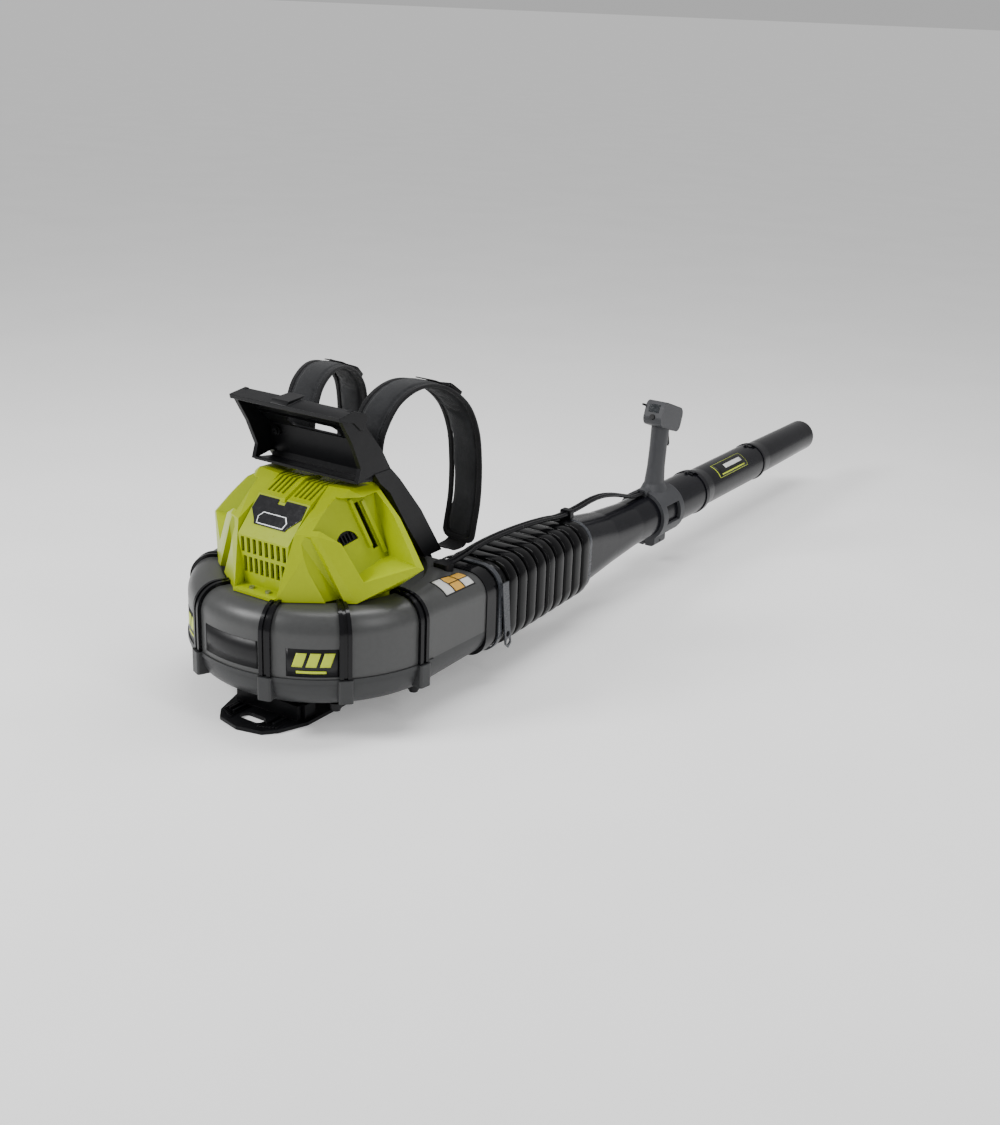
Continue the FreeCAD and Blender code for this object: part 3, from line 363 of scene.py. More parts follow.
def rubber(name, colour, roughness, shine=0.22):
    """Moulded rubber: soft sheen, faint bloom and a fine uneven skin."""
    g = Graph(name)
    bloom = g.noise(26, 5, rough=0.65)
    base = g.mix(g.remap(bloom, 0, 1), shade(colour, 0.8), shade(colour, 1.7))
    g.feed(Base_Color=base, Roughness=g.remap(g.noise(90, 4), roughness - 0.07, roughness + 0.09),
           Specular_IOR_Level=shine, Normal=g.bump(g.noise(900, 3), 0.00004))
    return g.material


def woven(name, colour, pitch, source="Object", ribs=False):
    """Cloth: crossing yarns of the given pitch, with uneven dye and a soft sheen."""
    g = Graph(name)
    places = g.places.outputs[source]
    parts = g.add("ShaderNodeSeparateXYZ", {0: places})
    rate = 2 * math.pi / pitch
    if source == "UV":
        first, second = parts.outputs[0], parts.outputs[1]
    else:
        first = g.math("ADD", parts.outputs[0], g.math("MULTIPLY", parts.outputs[2], 0.6))
        second = g.math("SUBTRACT", parts.outputs[1], g.math("MULTIPLY", parts.outputs[2], 0.8))
    warp = g.math("SINE", g.math("MULTIPLY", first, rate))
    weft = g.math("SINE", g.math("MULTIPLY", second, rate))
    if ribs:
        weave = g.math("ADD", g.math("MULTIPLY", g.math("ABSOLUTE", weft), 0.9),
                       g.math("MULTIPLY", warp, 0.25))
    else:
        weave = g.math("MULTIPLY", warp, weft)
    strands = g.remap(weave, 0, 1, -0.8, 0.8)
    dye = g.remap(g.noise(16, 5, rough=0.6), 0.72, 1.25)
    base = g.mix(strands, shade(colour, 0.62), shade(colour, 1.35))
    base = g.mix(g.math("MULTIPLY", g.noise(700, 2), 0.25), base, shade(colour, 2.0))
    edge_highlight_and_dye = g.add("ShaderNodeHueSaturation", {"Color": base, "Value": dye}).outputs[0]
    height = g.math("ADD", g.math("MULTIPLY", strands, 0.8), g.math("MULTIPLY", g.noise(1500, 2), 0.5))
    g.feed(Base_Color=edge_highlight_and_dye, Roughness=g.remap(g.noise(240, 3), 0.72, 0.94), Sheen_Weight=0.12,
           Sheen_Roughness=0.45, Specular_IOR_Level=0.12, Normal=g.bump(height, pitch * 0.22))
    return g.material


MATERIALS = {
    "volute": plastic("volute_satin", (0.052, 0.053, 0.053), 0.34, spread=0.05, dust=0.01, shine=0.35),
    "volute_low": plastic("volute_lower_satin", (0.030, 0.031, 0.032), 0.42, spread=0.05, dust=0.02),
    "gloss": plastic("gloss_black", (0.004, 0.004, 0.005), 0.17, grain=0.00001, spread=0.04, spots=0.2,
                     dust=0.004, shine=0.22),
    "tube": plastic("tube_black", (0.005, 0.005, 0.007), 0.22, grain=0.00001, spread=0.05, spots=0.2,
                    dust=0.004, shine=0.20),
    # frame, green housing and grey handle carry a painted highlight on their edges
    "frame": plastic("frame_black", (0.006, 0.006, 0.007), 0.34, grain=0.00006, grain_scale=1800, dust=0.01,
                     edge_highlight_and_dye=0.15, shine=0.15),
    "green": plastic("housing_green", (0.34, 0.42, 0.0), 0.30, grain=0.00002, spread=0.04, spots=0.05,
                     edge_highlight_and_dye=0.10, shine=0.2),
    "band": plastic("clamp_band", (0.040, 0.043, 0.050), 0.28, grain=0.00001, shine=0.4),
    "handle": plastic("handle_grey", (0.044, 0.045, 0.049), 0.45, grain=0.00006, grain_scale=1500, edge_highlight_and_dye=0.10),
    "dark": plastic("trim_black", (0.006, 0.006, 0.007), 0.42, grain=0.00006, grain_scale=1700, shine=0.2),
    "badge": plastic("badge_gloss", (0.006, 0.006, 0.008), 0.12, grain=0.00001, shine=0.5),
    "fan": plastic("fan_filled_nylon", (0.020, 0.020, 0.022), 0.5, grain=0.00008, grain_scale=1200),
    "board": plastic("board_mask", (0.012, 0.09, 0.035), 0.3, grain=0.00003, spots=0.25),
    "smoke": plastic("display_smoke", (0.010, 0.013, 0.016), 0.06, grain=0.000004, shine=0.5),
    "rubber": rubber("rubber_black", (0.006, 0.006, 0.007), 0.42),
    "bellows": rubber("bellows_black", (0.002, 0.002, 0.0024), 0.17, 0.14),
    "cable": rubber("cable_jacket", (0.004, 0.004, 0.005), 0.30),
    "steel": metal("zinc_steel", (0.42, 0.42, 0.44), 0.34),
    "ground": metal("ground_steel", (0.52, 0.52, 0.54), 0.24, (1, 1, 18)),
    "alloy": metal("cast_alloy", (0.50, 0.51, 0.52), 0.42, (1, 1, 1)),
    "copper": metal("winding_copper", (0.55, 0.22, 0.08), 0.36, (1, 1, 20)),
    "fabric": woven("pad_fabric", (0.019, 0.0195, 0.021), 0.0016),
    "mesh": woven("pad_mesh", (0.012, 0.012, 0.013), 0.0032),
    "webbing": woven("webbing", (0.010, 0.010, 0.011), 0.0018, source="UV", ribs=True),
    "binding": woven("binding_tape", (0.011, 0.011, 0.012), 0.0011),
    "thread": woven("thread", (0.030, 0.031, 0.033), 0.0006),
}

NODE_LOOKS = {
    "volute": ["volute_upper"],
    "volute_low": ["volute_lower"],
    "gloss": ["volute_ribs", "outlet_collar", "strap_buckle_left", "strap_buckle_right"],
    "band": ["clamp_rear", "clamp_front"],
    "tube": ["lower_tube", "mid_tube", "nozzle"],
    "frame": ["base_frame", "back_frame", "hood_shell", "carry_handle", "inlet_guard", "inlet_bell"],
    "green": ["motor_cover", "battery_bay_left", "battery_bay_right"],
    "handle": ["handle_clamp", "grip_left", "grip_right"],
    "dark": ["clamp_knob", "trigger", "cruise_lever", "power_button", "handle_switch", "cable_clip",
             "hood_screws", "terminal_block_left", "terminal_block_right"],
    "badge": ["badge_plate"],
    "fan": ["impeller"],
    "board": ["controller_board"],
    "smoke": ["display_window"],
    "rubber": ["volute_bumpers", "rubber_mounts", "cable_gland"],
    "steel": ["volute_screws", "impeller_nut", "cover_screws", "clamp_bolt", "trigger_pin"],
    "ground": ["motor_shaft", "rotor_core", "bearing_lower", "bearing_upper"],
    "alloy": ["motor_housing", "heat_sink"],
    "copper": ["stator"],
}
WELD_GAP = 0.00002
FLAT_ANGLE, SHARP_ANGLE = math.radians(0.6), math.radians(22)
EDGE_ROUNDING = {"motor_cover": 0.0022, "battery_bay_left": 0.0022, "battery_bay_right": 0.0022,
                 "base_frame": 0.0012, "back_frame": 0.0015, "hood_shell": 0.0010, "carry_handle": 0.0016,
                 "badge_plate": 0.0005, "cable_clip": 0.0008, "trigger": 0.0012, "cruise_lever": 0.0006,
                 "clamp_knob": 0.0008, "clamp_rear": 0.0006, "clamp_front": 0.0006,
                 "strap_buckle_left": 0.0007, "strap_buckle_right": 0.0007}


def paint(piece, look):
    piece.data.materials.clear()
    piece.data.materials.append(MATERIALS[look])


for look, names in NODE_LOOKS.items():
    for name in names:
        paint(NODES[name], look)
for name, width in EDGE_ROUNDING.items():
    node = NODES[name]
    node.modifiers.new("weld", "WELD").merge_threshold = WELD_GAP
    flat = node.modifiers.new("flat", "DECIMATE")
    flat.decimate_type = "DISSOLVE"
    flat.angle_limit = FLAT_ANGLE
    rounding = node.modifiers.new("rounding", "BEVEL")
    rounding.width = width
    rounding.segments = 3
    rounding.limit_method = "ANGLE"
    rounding.angle_limit = SHARP_ANGLE
    rounding.harden_normals = True
for piece in cables:
    paint(piece, "cable")

# ---------------------------------------------------------------- bellows
BELLOWS_START, BELLOWS_END = 0.180, 0.470
CUFF_REAR, CUFF_FRONT = 0.169, 0.481    # y of the open ends, under the two clamps
RIDGES, RIDGES_START = 9, 0.200
RIDGE_PITCH = (BELLOWS_END - RIDGES_START) / RIDGES
BELLOWS_WALL = 0.0014
RING_POINTS = 20                        # points along each corner of a bellows section
CROWN, ROUNDING, GROOVE = 0.0034, 0.0018, 0.0085    # ridge height, fall to its sides, extra depth between
GROOVE_WIDTH = 0.075                    # of a ridge's pitch
# half width, low edge, high edge and corner radius
REAR_CUFF, FRONT_CUFF = (0.0613, 0.0512, 0.1928, 0.038), (0.0502, 0.0588, 0.1842, 0.036)
REAR_RIDGE = (0.062, 0.050, 0.193, 0.038)
NARROWING, CLOSING = 0.008, 0.006       # how far its sides, and its low and high edges, come in by the front
BEAD, BEAD_RISE = (0.187, 0.193), 0.0009    # y range and height of the bead round the rear cuff
CUFF_GAP = 0.003                        # between the rear cuff and the first ridge


def rounded_frame(y, half, low, high, radius):
    """Rounded rectangle round the tube's axis, standing across it."""
    section = rounded(half, (high - low) / 2, radius, RING_POINTS)
    centre_z = (low + high) / 2
    return [Vector((TUBE_AXIS[0] + u, y, centre_z + v)) for u, v in section]


def bellows_size(y):
    """Half width, low and high edges and corner radius: cuffs at both ends, ridges between."""
    if y < RIDGES_START - CUFF_GAP:
        half, low, high, radius = REAR_CUFF
        step = BEAD_RISE if BEAD[0] < y < BEAD[1] else 0.0
        return half + step, low - step, high + step, radius
    if y > BELLOWS_END:
        return FRONT_CUFF
    share = (y - BELLOWS_START) / (BELLOWS_END - BELLOWS_START)
    phase = (y - RIDGES_START) / RIDGE_PITCH
    near = abs(phase - round(phase))   # 0 in a groove, 0.5 on a ridge's top
    swell = CROWN - ROUNDING * (1 - 2 * near) ** 2 - GROOVE * math.exp(-(near / GROOVE_WIDTH) ** 2)
    half, low, high, radius = REAR_RIDGE
    return (half - NARROWING * share + swell, low + CLOSING * share - swell,
            high - CLOSING * share + swell, radius + swell * 0.5)


def bellows_rings(first, last, steps):
    """Outer then inner rings of the bellows between two y values."""
    outer, inner = [], []
    for y in np.linspace(first, last, steps):
        half, low, high, radius = bellows_size(y)
        outer.append(rounded_frame(y, half, low, high, radius))
        inner.append(rounded_frame(y, half - BELLOWS_WALL, low + BELLOWS_WALL, high - BELLOWS_WALL,
                                   radius - BELLOWS_WALL))
    return outer, inner


def tube_shell(name, outer, inner):
    """Closed thin shell from outer rings and inner rings."""
    return new_piece(name, *skin(outer + inner[::-1], closed=True))


for name, first, last, steps, bodies, bend in (
        ("bellows_rear", CUFF_REAR, ELBOW_SPLIT, 160, ("root", "elbow"), YAW_BEND),
        ("bellows_front", ELBOW_SPLIT, CUFF_FRONT, 150, ("elbow", "tube"), PITCH_BEND)):
    piece = tube_shell(name, *bellows_rings(first, last, steps))
    paint(piece, "bellows")
    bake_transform(piece)
    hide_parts("bellows")

# ---------------------------------------------------------------- trigger spring
PIN = np.array([0.150, 0.825, 0.284])
COIL_R, WIRE_R, COIL_TURNS = 0.0029, 0.00035, 7
coil_start, coil_end = PIN + (0, -0.0135, -0.020), PIN + (0, -0.0030, -0.020)
turn = np.linspace(0, 2 * math.pi * COIL_TURNS, COIL_TURNS * 16)
coil = np.stack([coil_start[0] + COIL_R * np.cos(turn), np.linspace(coil_start[1], coil_end[1], len(turn)),
                 coil_start[2] + COIL_R * np.sin(turn)], 1)
spring = new_piece("trigger_coil", *sweep(coil, (0, 1, 0), circle(WIRE_R, 6)))
paint(spring, "steel")
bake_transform(spring)
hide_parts("trigger_spring")


# ---------------------------------------------------------------- straps and pads
STRAP_POINTS = 400
PAD_SECTIONS, PAD_SIDES = 90, 14
PAD_END, END_SHARE = 0.010, 0.35        # a pad thickens from this share over a part of this length
PAD_PRESSURE = 4.0
CLOTH_FRAMES = 20


class Strap:
    """A band along a line in space, with places on it given by distance along, across and above."""

    def __init__(self, points):
        self.path = spline_through(points, STRAP_POINTS)
        self.along = run_length(self.path)
        self.length = self.along[-1]
        step = tangents(self.path)
        self.across = unit(SIDE - step * step[:, :1])
        self.above = unit(np.cross(self.across, step))

    def place(self, s, v=0.0, h=0.0):
        """Points at distances s along, v across and h above."""
        s = np.atleast_1d(np.asarray(s, float))
        read = [np.stack([np.interp(s, self.along, field[:, k]) for k in range(3)], 1)
                for field in (self.path, self.across, self.above)]
        return (read[0] + unit(read[1]) * np.reshape(v, (-1, 1)) + unit(read[2]) * np.reshape(h, (-1, 1)))

    def frame_at(self, s):
        """Unit vectors along, across and above at distances s."""
        s = np.atleast_1d(np.asarray(s, float))
        return [unit(np.stack([np.interp(s, self.along, field[:, k]) for k in range(3)], 1))
                for field in (tangents(self.path), self.across, self.above)]

    def locate(self, points):
        """(s, v, h) of points near the strap, and the path point nearest to each."""
        tree = KDTree(len(self.path))
        for i, p in enumerate(self.path):
            tree.insert(p, i)
        tree.balance()
        near = [tree.find(p)[1] for p in points]
        offset = np.asarray(points) - self.path[near]
        return (self.along[near], (offset * self.across[near]).sum(1),
                (offset * self.above[near]).sum(1), near)


def pad_mesh(name, strap, start, end, width, thick, rim):
    """Closed crowned form along a strap: thick in the middle, thin at its rim."""
    rings = []
    spread = np.cos(np.linspace(0, math.pi, PAD_SIDES))
    for s in np.linspace(start, end, PAD_SECTIONS):
        ends = min(1.0, (s - start) / PAD_END + END_SHARE, (end - s) / PAD_END + END_SHARE)
        half = width / 2 * (0.93 + 0.07 * ends)
        crown = (rim + (thick - rim) * (1 - np.abs(spread) ** 3)) / 2 * ends
        top = [strap.place(s, v * half, h)[0] for v, h in zip(spread, crown)]
        bottom = [strap.place(s, v * half, -h)[0] for v, h in zip(spread[::-1], crown[::-1])]
        rings.append(top + bottom)
    return new_piece(name, *skin(rings))


def puff(pads):
    """Remeshes each pad, blows it up as cloth, and keeps it within its cap. Pads are (piece, voxel, cap)."""
    rests = []
    for piece, voxel, _ in pads:
        remesh = piece.modifiers.new("remesh", "REMESH")
        remesh.mode = "VOXEL"
        remesh.voxel_size = voxel
        graph = bpy.context.evaluated_depsgraph_get()
        mesh = bpy.data.meshes.new_from_object(piece.evaluated_get(graph))
        piece.modifiers.clear()
        piece.data = mesh
        rests.append(np.array([v.co for v in mesh.vertices], float))
        cloth = piece.modifiers.new("cloth", "CLOTH").settings
        cloth.effector_weights.gravity = 0
        cloth.use_pressure = True
        cloth.uniform_pressure_force = PAD_PRESSURE
        cloth.quality = 4
        cloth.mass = 0.3
        cloth.tension_stiffness = cloth.compression_stiffness = 20
        cloth.bending_stiffness = 0.6
    for number in range(1, CLOTH_FRAMES + 1):
        bpy.context.scene.frame_set(number)
    graph = bpy.context.evaluated_depsgraph_get()
    for (piece, _, cap), rest in zip(pads, rests):
        blown = np.array([v.co for v in piece.evaluated_get(graph).data.vertices], float)
        move = blown - rest
        size = np.linalg.norm(move, axis=1, keepdims=True)
        move *= np.minimum(1, cap / np.maximum(size, 1e-9))
        piece.modifiers.clear()
        piece.data.vertices.foreach_set("co", (rest + move).ravel())
        piece.data.update()
        smooth = piece.modifiers.new("smooth", "SMOOTH")
        smooth.factor, smooth.iterations = 0.5, 6
        piece.modifiers.new("finer", "SUBSURF").levels = 1
        graph = bpy.context.evaluated_depsgraph_get()
        mesh = bpy.data.meshes.new_from_object(piece.evaluated_get(graph))
        piece.modifiers.clear()
        piece.data = mesh
        for face in mesh.polygons:
            face.use_smooth = True
    bpy.context.scene.frame_set(1)


def press(piece, strap, depth):
    """Moves the pad's skin toward its middle by depth(s, v, h) metres, for seams and sewn channels."""
    points = np.array([v.co for v in piece.data.vertices], float)
    s, v, h, near = strap.locate(points)
    sink = depth(s, v, h)
    points -= strap.above[near] * (np.sign(h) * np.minimum(sink, np.abs(h) * 0.8))[:, None]
    piece.data.vertices.foreach_set("co", points.ravel())
    piece.data.update()


LOOP_STEP = 0.004                       # distance between points of a rim line


def loop_round(start, end, half, corner):
    """(s, v) points of a rounded rectangle on a strap."""
    points = []
    for k, (cs, cv) in enumerate(((end, 1), (start, 1), (start, -1), (end, -1))):
        sign_s = 1 if cs == end else -1
        for turn in np.linspace(k * math.pi / 2, (k + 1) * math.pi / 2, 8):
            points.append((cs - sign_s * corner + corner * math.cos(turn),
                           cv * (half - corner) + corner * math.sin(turn)))
    loop = np.array(points + points[:1])
    along = run_length(loop)
    stops = np.arange(0, along[-1], LOOP_STEP)
    return np.stack([np.interp(stops, along, loop[:, k]) for k in range(2)], 1)


THREAD_R = 0.0004
STITCH_PITCH, STITCH_HALF = 0.0048, 0.0016


def stitches(strap, line, height, name):
    """Row of thread stitches on a strap along (s, v) points, at a height above its middle."""
    along = run_length(line)
    parts = []
    for centre in np.arange(STITCH_PITCH, along[-1] - STITCH_PITCH, STITCH_PITCH):
        ends = [[np.interp(stop, along, line[:, j]) for j in range(2)]
                for stop in (centre - STITCH_HALF, centre, centre + STITCH_HALF)]
        rise = (0, THREAD_R, 0)
        path = np.array([strap.place(s, v, height + up)[0] for (s, v), up in zip(ends, rise)])
        parts.append(sweep(path, strap.frame_at(ends[1][0])[1][0], circle(THREAD_R, 6), scale=(0.4, 1, 0.4)))
    piece = new_piece(name, *join_meshes(parts))
    paint(piece, "thread")
    return piece


def bind(strap, start, end, half, corner, name, reach=0.0045, thick=0.0030):
    """Folded tape round the rim of a pad."""
    loop = loop_round(start, end, half, corner)
    path = np.array([strap.place(s, v)[0] for s, v in loop])
    above = np.array([strap.frame_at(s)[2][0] for s, v in loop])
    along = tangents(path, closed=True)
    outward = unit(np.cross(along, above))
    section = rounded(reach, thick, min(reach, thick) * 0.85, 5)
    piece = new_piece(name, *sweep(path, outward, section, closed=True))
    paint(piece, "binding")
    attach(piece, "root")


def web(strap, start, end, width, thick, height, name, count=80):
    """Flat woven strap, with lengthwise and crosswise places in its UV map for the weave."""
    stops = np.linspace(start, end, count)
    path = strap.place(stops, 0, height)
    section = rounded(width / 2, thick / 2, thick * 0.42, 3)
    across = strap.frame_at(stops)[1]
    piece = new_piece(name, *sweep(path, across, section))
    uv = piece.data.uv_layers.new(name="weave").data
    for loop in piece.data.loops:
        ring, corner = divmod(loop.vertex_index, len(section))
        uv[loop.index].uv = (section[corner][0], stops[min(ring, count - 1)])
    paint(piece, "webbing")
    return piece


# middle lines of the right shoulder pad, the webbing below it, and the back cushion
SHOULDER = [(0.066, 0.014, 0.392), (0.068, 0.022, 0.430), (0.075, 0.048, 0.470), (0.084, 0.092, 0.488),
            (0.093, 0.142, 0.479), (0.104, 0.184, 0.446), (0.112, 0.203, 0.400), (0.116, 0.207, 0.345),
            (0.117, 0.205, 0.290), (0.114, 0.200, 0.244), (0.112, 0.197, 0.219)]
LOWER_WEB = [(0.1125, 0.198, 0.236), (0.112, 0.197, 0.221), (0.110, 0.192, 0.212), (0.104, 0.176, 0.208),
             (0.100, 0.1610, 0.2125)]
BACK_SLOPE = [(0, 0.1635, 0.2130), (0, 0.1070, 0.2925), (0, 0.0545, 0.3530)]
PAD_HALF, PAD_THICK = 0.028, 0.0115
BACK_HALF, BACK_THICK = 0.083, 0.019
PAD_CHANNEL = 0.0195                    # from a shoulder pad's middle line to its sewn channels
BACK_SEAMS = [0.25, 0.5, 0.75]          # shares of the back cushion's length
BACK_CHANNEL = BACK_HALF * 0.80


def mirrored(points):
    """The same line on the wearer's left."""
    return [(-x, y, z) for x, y, z in points]


def groove(distance, width, depth):
    """Depth of a rounded groove at a distance from its middle."""
    return depth * np.exp(-(distance / width) ** 2)


pads = []
shoulders = {}
for word, points in (("right", SHOULDER), ("left", mirrored(SHOULDER))):
    strap = Strap(points)
    pad = pad_mesh(f"shoulder_cushion_{word}", strap, 0.002, strap.length - 0.002, 2 * PAD_HALF - 0.004,
                   PAD_THICK - 0.002, 0.004)
    shoulders[word] = (strap, pad)
    pads.append((pad, 0.0036, 0.0035))
spine = Strap(BACK_SLOPE)
back_cushion = pad_mesh("back_cushion", spine, 0.003, spine.length - 0.003, 2 * BACK_HALF - 0.006,
                        BACK_THICK - 0.005, 0.007)
pads.append((back_cushion, 0.0046, 0.006))
puff(pads)

for word, (strap, pad) in shoulders.items():
    press(pad, strap, lambda s, v, h: groove(np.abs(v) - PAD_CHANNEL, 0.0022, 0.0016))
    paint(pad, "fabric")
    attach(pad, "root")
    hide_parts(f"shoulder_pad_{word}")
    bind(strap, 0.001, strap.length - 0.001, PAD_HALF - 0.001, 0.010, f"shoulder_binding_{word}")
    rim = loop_round(0.005, strap.length - 0.005, PAD_HALF - 0.0032, 0.008)
    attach(stitches(strap, rim, 0.0030, f"shoulder_stitches_{word}"), "root")
    lift = web(strap, 0.165, strap.length - 0.020, 0.025, 0.0016, PAD_THICK / 2 + 0.0012,
               f"strap_over_pad_{word}")
    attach(lift, "root")


def back_depth(s, v, h):
    """Cross seams and the two lengthwise channels of the back cushion."""
    seams = sum(groove(s - spine.length * k, 0.0045, 0.0065) for k in BACK_SEAMS)
    return seams + groove(np.abs(v) - BACK_CHANNEL, 0.0040, 0.0040)


press(back_cushion, spine, back_depth)
paint(back_cushion, "mesh")
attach(back_cushion, "root")
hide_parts("back_pad")
bind(spine, 0.002, spine.length - 0.002, BACK_HALF - 0.001, 0.016, "back_binding", reach=0.005, thick=0.0040)

for word, points in (("right", LOWER_WEB), ("left", mirrored(LOWER_WEB))):
    strap = Strap(points)
    lower = web(strap, 0.0, strap.length, 0.038, 0.0022, 0.0, f"lower_webbing_{word}", count=40)
    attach(lower, "root")
    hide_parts(f"strap_webbing_{word}")


# ---------------------------------------------------------------- blank marks
RING_CENTRE = np.array([-0.006, 0.006])
RING_R = 0.212
SKIN = 0.0004                           # how far a label stands off the plastic
UNDERSIDE = 0.00005                     # and how far its back does


def ring_side(angle, z, out):
    """Point on the fan housing's upright side."""
    turn = math.radians(angle)
    return Vector((RING_CENTRE[0] + (RING_R + out) * math.cos(turn),
                   RING_CENTRE[1] + (RING_R + out) * math.sin(turn), z))


def patch(name, place, columns, rows, look):
    """Thin label from a function place(i, j, out) over a grid of columns and rows from 0 to 1."""
    def layer(out):
        return [place(i / columns, j / rows, out) for j in range(rows + 1) for i in range(columns + 1)]
    verts = layer(SKIN) + layer(UNDERSIDE)
    wide, half = columns + 1, (columns + 1) * (rows + 1)
    faces = []
    for j in range(rows):
        for i in range(columns):
            a = j * wide + i
            faces.append((a, a + 1, a + wide + 1, a + wide))
            faces.append((a + half, a + half + wide, a + half + wide + 1, a + half + 1))
    rim = list(range(wide)) + [j * wide + columns for j in range(1, rows + 1)]
    rim += [rows * wide + i for i in range(columns - 1, -1, -1)] + [j * wide for j in range(rows - 1, 0, -1)]
    faces += [(a, b, b + half, a + half) for a, b in zip(rim, rim[1:] + rim[:1])]
    piece = new_piece(name, verts, faces)
    piece.data.materials.append(look)
    return piece


def stuck(node, corner, wide, tall, direction):
    """Label place function: a flat grid dropped onto a CAD node's surface along a direction."""
    corner, wide, tall, direction = (Vector(v) for v in (corner, wide, tall, direction))

    def place(i, j, out):
        hit, where, normal, _ = NODES[node].ray_cast(corner + wide * i + tall * j, direction.normalized())
        assert hit, f"label misses {node}"
        return where + normal * out
    return place


def part_of(place, i0, i1, j0, j1):
    """The same place function for a rectangle of the label."""
    return lambda i, j, out: place(i0 + (i1 - i0) * i, j0 + (j1 - j0) * j, out)


def label(name, place, columns, rows, look, layer=1):
    """Sticker that rides on the fan unit; a higher layer lies on the one below."""
    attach(patch(name, lambda i, j, out: place(i, j, out + (layer - 1) * SKIN), columns, rows, look), "root")


LABEL_BLACK = plastic("label_black", (0.006, 0.006, 0.007), 0.38, grain=0.000008, shine=0.25)
LABEL_LIME = plastic("label_lime", (0.50, 0.60, 0.03), 0.40, grain=0.000008, spots=0.05)
LABEL_PALE = plastic("label_pale", (0.62, 0.62, 0.60), 0.40, grain=0.000008, spots=0.03)
LABEL_AMBER = plastic("label_amber", (0.66, 0.36, 0.05), 0.40, grain=0.000008, spots=0.05)


def ring_box(start, wide, low, tall, slant=0.0):
    """Place function for a field on the ring: start angle, width in degrees, height from z low."""
    return lambda i, j, out: ring_side(start + wide * i + slant * j, low + tall * j, out)


label("side_plate", ring_box(-106.5, 29, 0.108, 0.044), 30, 2, LABEL_BLACK)

BAR_SLANT = 2.0                         # degrees round the ring over a bar's height
for turn in (-65.5, -131.5):            # three slanted bars over a rule
    word = f"{-turn:.0f}"
    label(f"side_field_{word}", ring_box(turn, 21, 0.104, 0.044), 24, 2, LABEL_BLACK)
    for k in range(3):
        label(f"side_bar_{word}_{k}", ring_box(turn + 2.2 + 5.6 * k, 4.2, 0.120, 0.022, BAR_SLANT), 6, 4,
              LABEL_LIME, 2)
    label(f"side_rule_{word}", ring_box(turn + 4, 12, 0.110, 0.004), 12, 1, LABEL_LIME, 2)

DUCT_LABEL = stuck("volute_upper", (0.172, 0.046, 0.215), (0, 0.078, 0), (0.034, 0, -0.012), (-0.35, 0, -1))
label("duct_label", DUCT_LABEL, 10, 12, LABEL_BLACK)
for k, (i0, i1, j0, j1, look) in enumerate(((0.03, 0.30, 0.06, 0.94, LABEL_PALE),
                                            (0.34, 0.64, 0.06, 0.48, LABEL_AMBER),
                                            (0.68, 0.97, 0.06, 0.48, LABEL_AMBER),
                                            (0.34, 0.64, 0.54, 0.94, LABEL_AMBER),
                                            (0.68, 0.97, 0.54, 0.94, LABEL_PALE))):
    label(f"duct_label_panel_{k}", part_of(DUCT_LABEL, i0, i1, j0, j1), 5, 8, look, 2)


MID_TUBE_R = 0.039
LABEL_Y, LABEL_LONG = 1.030, 0.130
LABEL_EDGE, LABEL_ARC = 62, 50          # degrees from straight up to its lower edge, and across it


def on_mid_tube(i, j, out):
    """Place on the middle tube's upper right side."""
    turn = math.radians(LABEL_EDGE - LABEL_ARC * j)
    radius = MID_TUBE_R + out
    return Vector((TUBE_AXIS[0] + radius * math.sin(turn), LABEL_Y + LABEL_LONG * i,
                   TUBE_AXIS[1] + radius * math.cos(turn)))


for name, (i0, i1, j0, j1), look, layer in (
        ("tube_label_edge", (0, 1, 0, 1), LABEL_LIME, 1),
        ("tube_label", (0.015, 0.985, 0.03, 0.97), LABEL_BLACK, 2),
        ("tube_label_rule", (0.10, 0.90, 0.12, 0.20), LABEL_LIME, 3),
        ("tube_label_bar", (0.30, 0.88, 0.42, 0.70), LABEL_PALE, 3)):
    place = part_of(on_mid_tube, i0, i1, j0, j1)
    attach(patch(name, lambda i, j, out, at=place, up=(layer - 1) * SKIN: at(i, j, out + up), 8, 12, look),
            "mid_section")

# ---------------------------------------------------------------- badge and foot treads
SLOPE_TOP = Vector((0, -0.093, 0.334))
SLOPE_DOWN, SLOPE_OUT = Vector((0, -49, -51)).normalized(), Vector((0, -51, 49)).normalized()


def raised(name, outline, low, high, look):
    """Plate with a chamfered top on the slope above the grille, from (x, distance down) points."""
    centre = np.mean(outline, axis=0)
    rings = []
    for height, shrink in ((low, 1.0), (high - 0.0004, 1.0), (high, 0.97)):
        points = centre + (np.array(outline) - centre) * shrink
        rings.append([SLOPE_TOP + SLOPE_DOWN * s + SLOPE_OUT * height + Vector((x, 0, 0)) for x, s in points])
    piece = new_piece(name, *skin(rings), smooth=False)
    piece.data.materials.append(look)
    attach(piece, "root")


BADGE = [(-0.022, 0.028), (0.022, 0.028), (0.029, 0.037), (0.026, 0.0485), (-0.026, 0.0485), (-0.029, 0.037)]
BADGE_MIDDLE = 0.0385
INNER_BADGE = [(x * 0.93, BADGE_MIDDLE + (s - BADGE_MIDDLE) * 0.86) for x, s in BADGE]
raised("badge_rim", BADGE, 0.0015, 0.0026, MATERIALS["alloy"])
raised("badge_face", INNER_BADGE, 0.0024, 0.0030, MATERIALS["badge"])

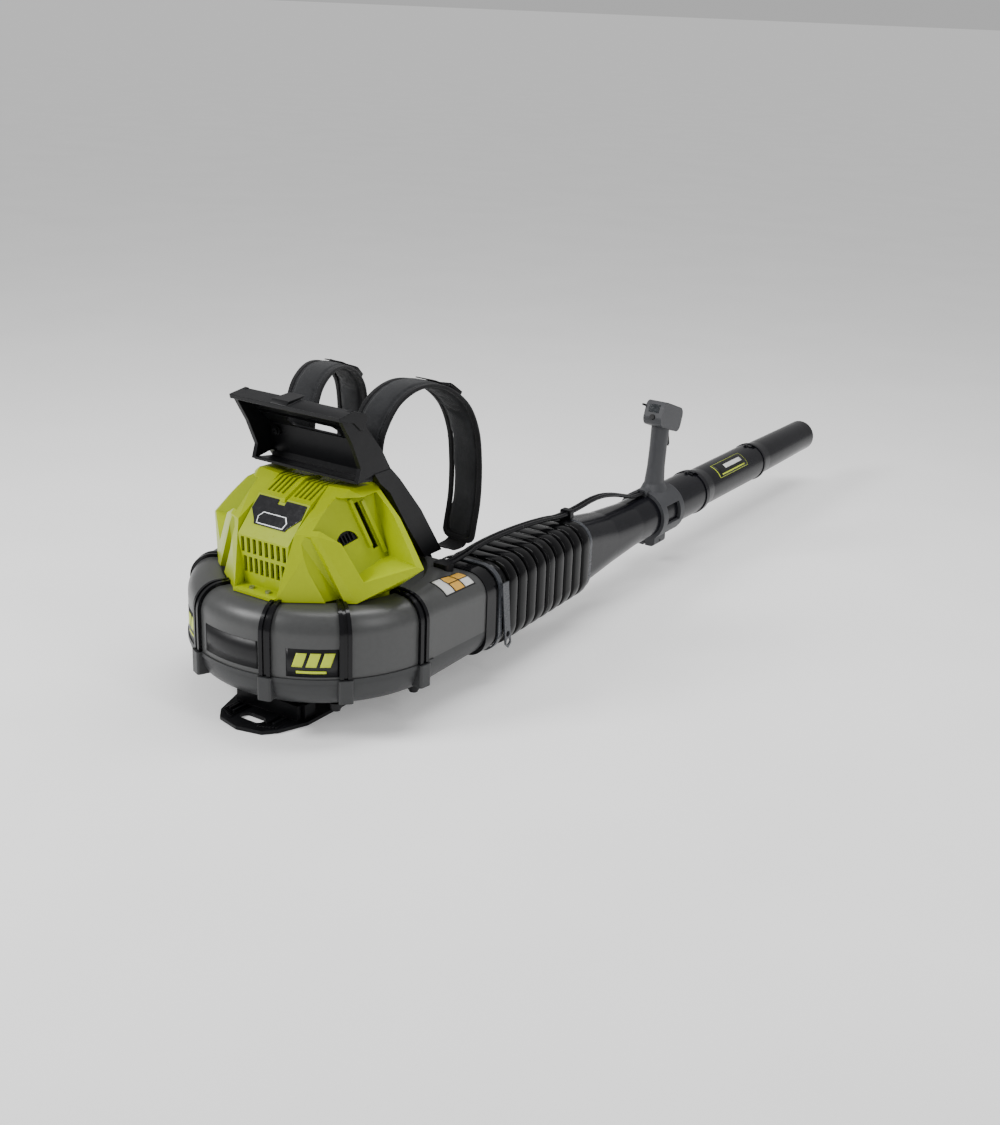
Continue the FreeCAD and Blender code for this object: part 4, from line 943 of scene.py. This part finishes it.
TREAD_Z = 0.0067                        # middle of a tread, just above the foot plate
TREADS, TREAD_X, TREAD_PITCH = 7, 0.0275, 0.0042
TREAD_REAR, TREAD_FRONT = -0.192, -0.146
CORNER_X, CORNER_SLOPE = 0.030, 0.55    # the plate's corners are cut from this x outwards
treads = []
for side in (1, -1):
    for k in range(TREADS):
        x = side * (TREAD_X + TREAD_PITCH * k)
        rear = TREAD_REAR + max(0, abs(x) - CORNER_X) * CORNER_SLOPE
        path = np.linspace((x, rear, TREAD_Z), (x, TREAD_FRONT, TREAD_Z), 10)
        treads.append(sweep(path, SIDE, rounded(0.0011, 0.0012, 0.0010, 3)))
treads = new_piece("foot_treads", *join_meshes(treads))
paint(treads, "frame")
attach(treads, "root")

# ---------------------------------------------------------------- floor and light
FLOOR_SIZE = 200.0                      # half its width
FLOOR_GLOW = 0.22                       # keeps the paper pale beyond the lamps' reach
FLOOR_Z = -0.0005
corners = [(x * FLOOR_SIZE, y * FLOOR_SIZE, FLOOR_Z) for x, y in ((-1, -1), (1, -1), (1, 1), (-1, 1))]
floor = new_piece("floor", corners, [(0, 1, 2, 3)])
floor_look = Graph("floor_paper")
floor_look.feed(Base_Color=floor_look.mix(floor_look.remap(floor_look.noise(3, 3), 0, 1), (0.86, 0.86, 0.86),
                                          (0.90, 0.90, 0.90)), Roughness=0.85, Specular_IOR_Level=0.0,
                Emission_Color=(1, 1, 1, 1), Emission_Strength=FLOOR_GLOW)
floor.data.materials.append(floor_look.material)

WORLD_LIGHT = 0.5
world = bpy.data.worlds.new("studio")
world.use_nodes = True
world.node_tree.nodes["Background"].inputs["Color"].default_value = (1.0, 1.0, 1.0, 1)
world.node_tree.nodes["Background"].inputs["Strength"].default_value = WORLD_LIGHT
bpy.context.scene.world = world


def soft_light(name, place, aim, width, height, power):
    """Rectangular lamp at a place, pointed at another."""
    lamp = bpy.data.lights.new(name, "AREA")
    lamp.shape = "RECTANGLE"
    lamp.size, lamp.size_y, lamp.energy = width, height, power
    holder = bpy.data.objects.new(name, lamp)
    holder.location = place
    holder.rotation_euler = (Vector(aim) - Vector(place)).to_track_quat("-Z", "Y").to_euler()
    bpy.context.scene.collection.objects.link(holder)


soft_light("key", (-1.3, -1.7, 2.0), (0, 0.1, 0.2), 0.8, 0.8, 62)
soft_light("side", (2.3, -0.2, 1.7), (0.1, 0.3, 0.15), 0.4, 1.6, 18)
soft_light("top", (0.3, 0.7, 2.4), (0.1, 0.5, 0.1), 0.6, 2.0, 42)
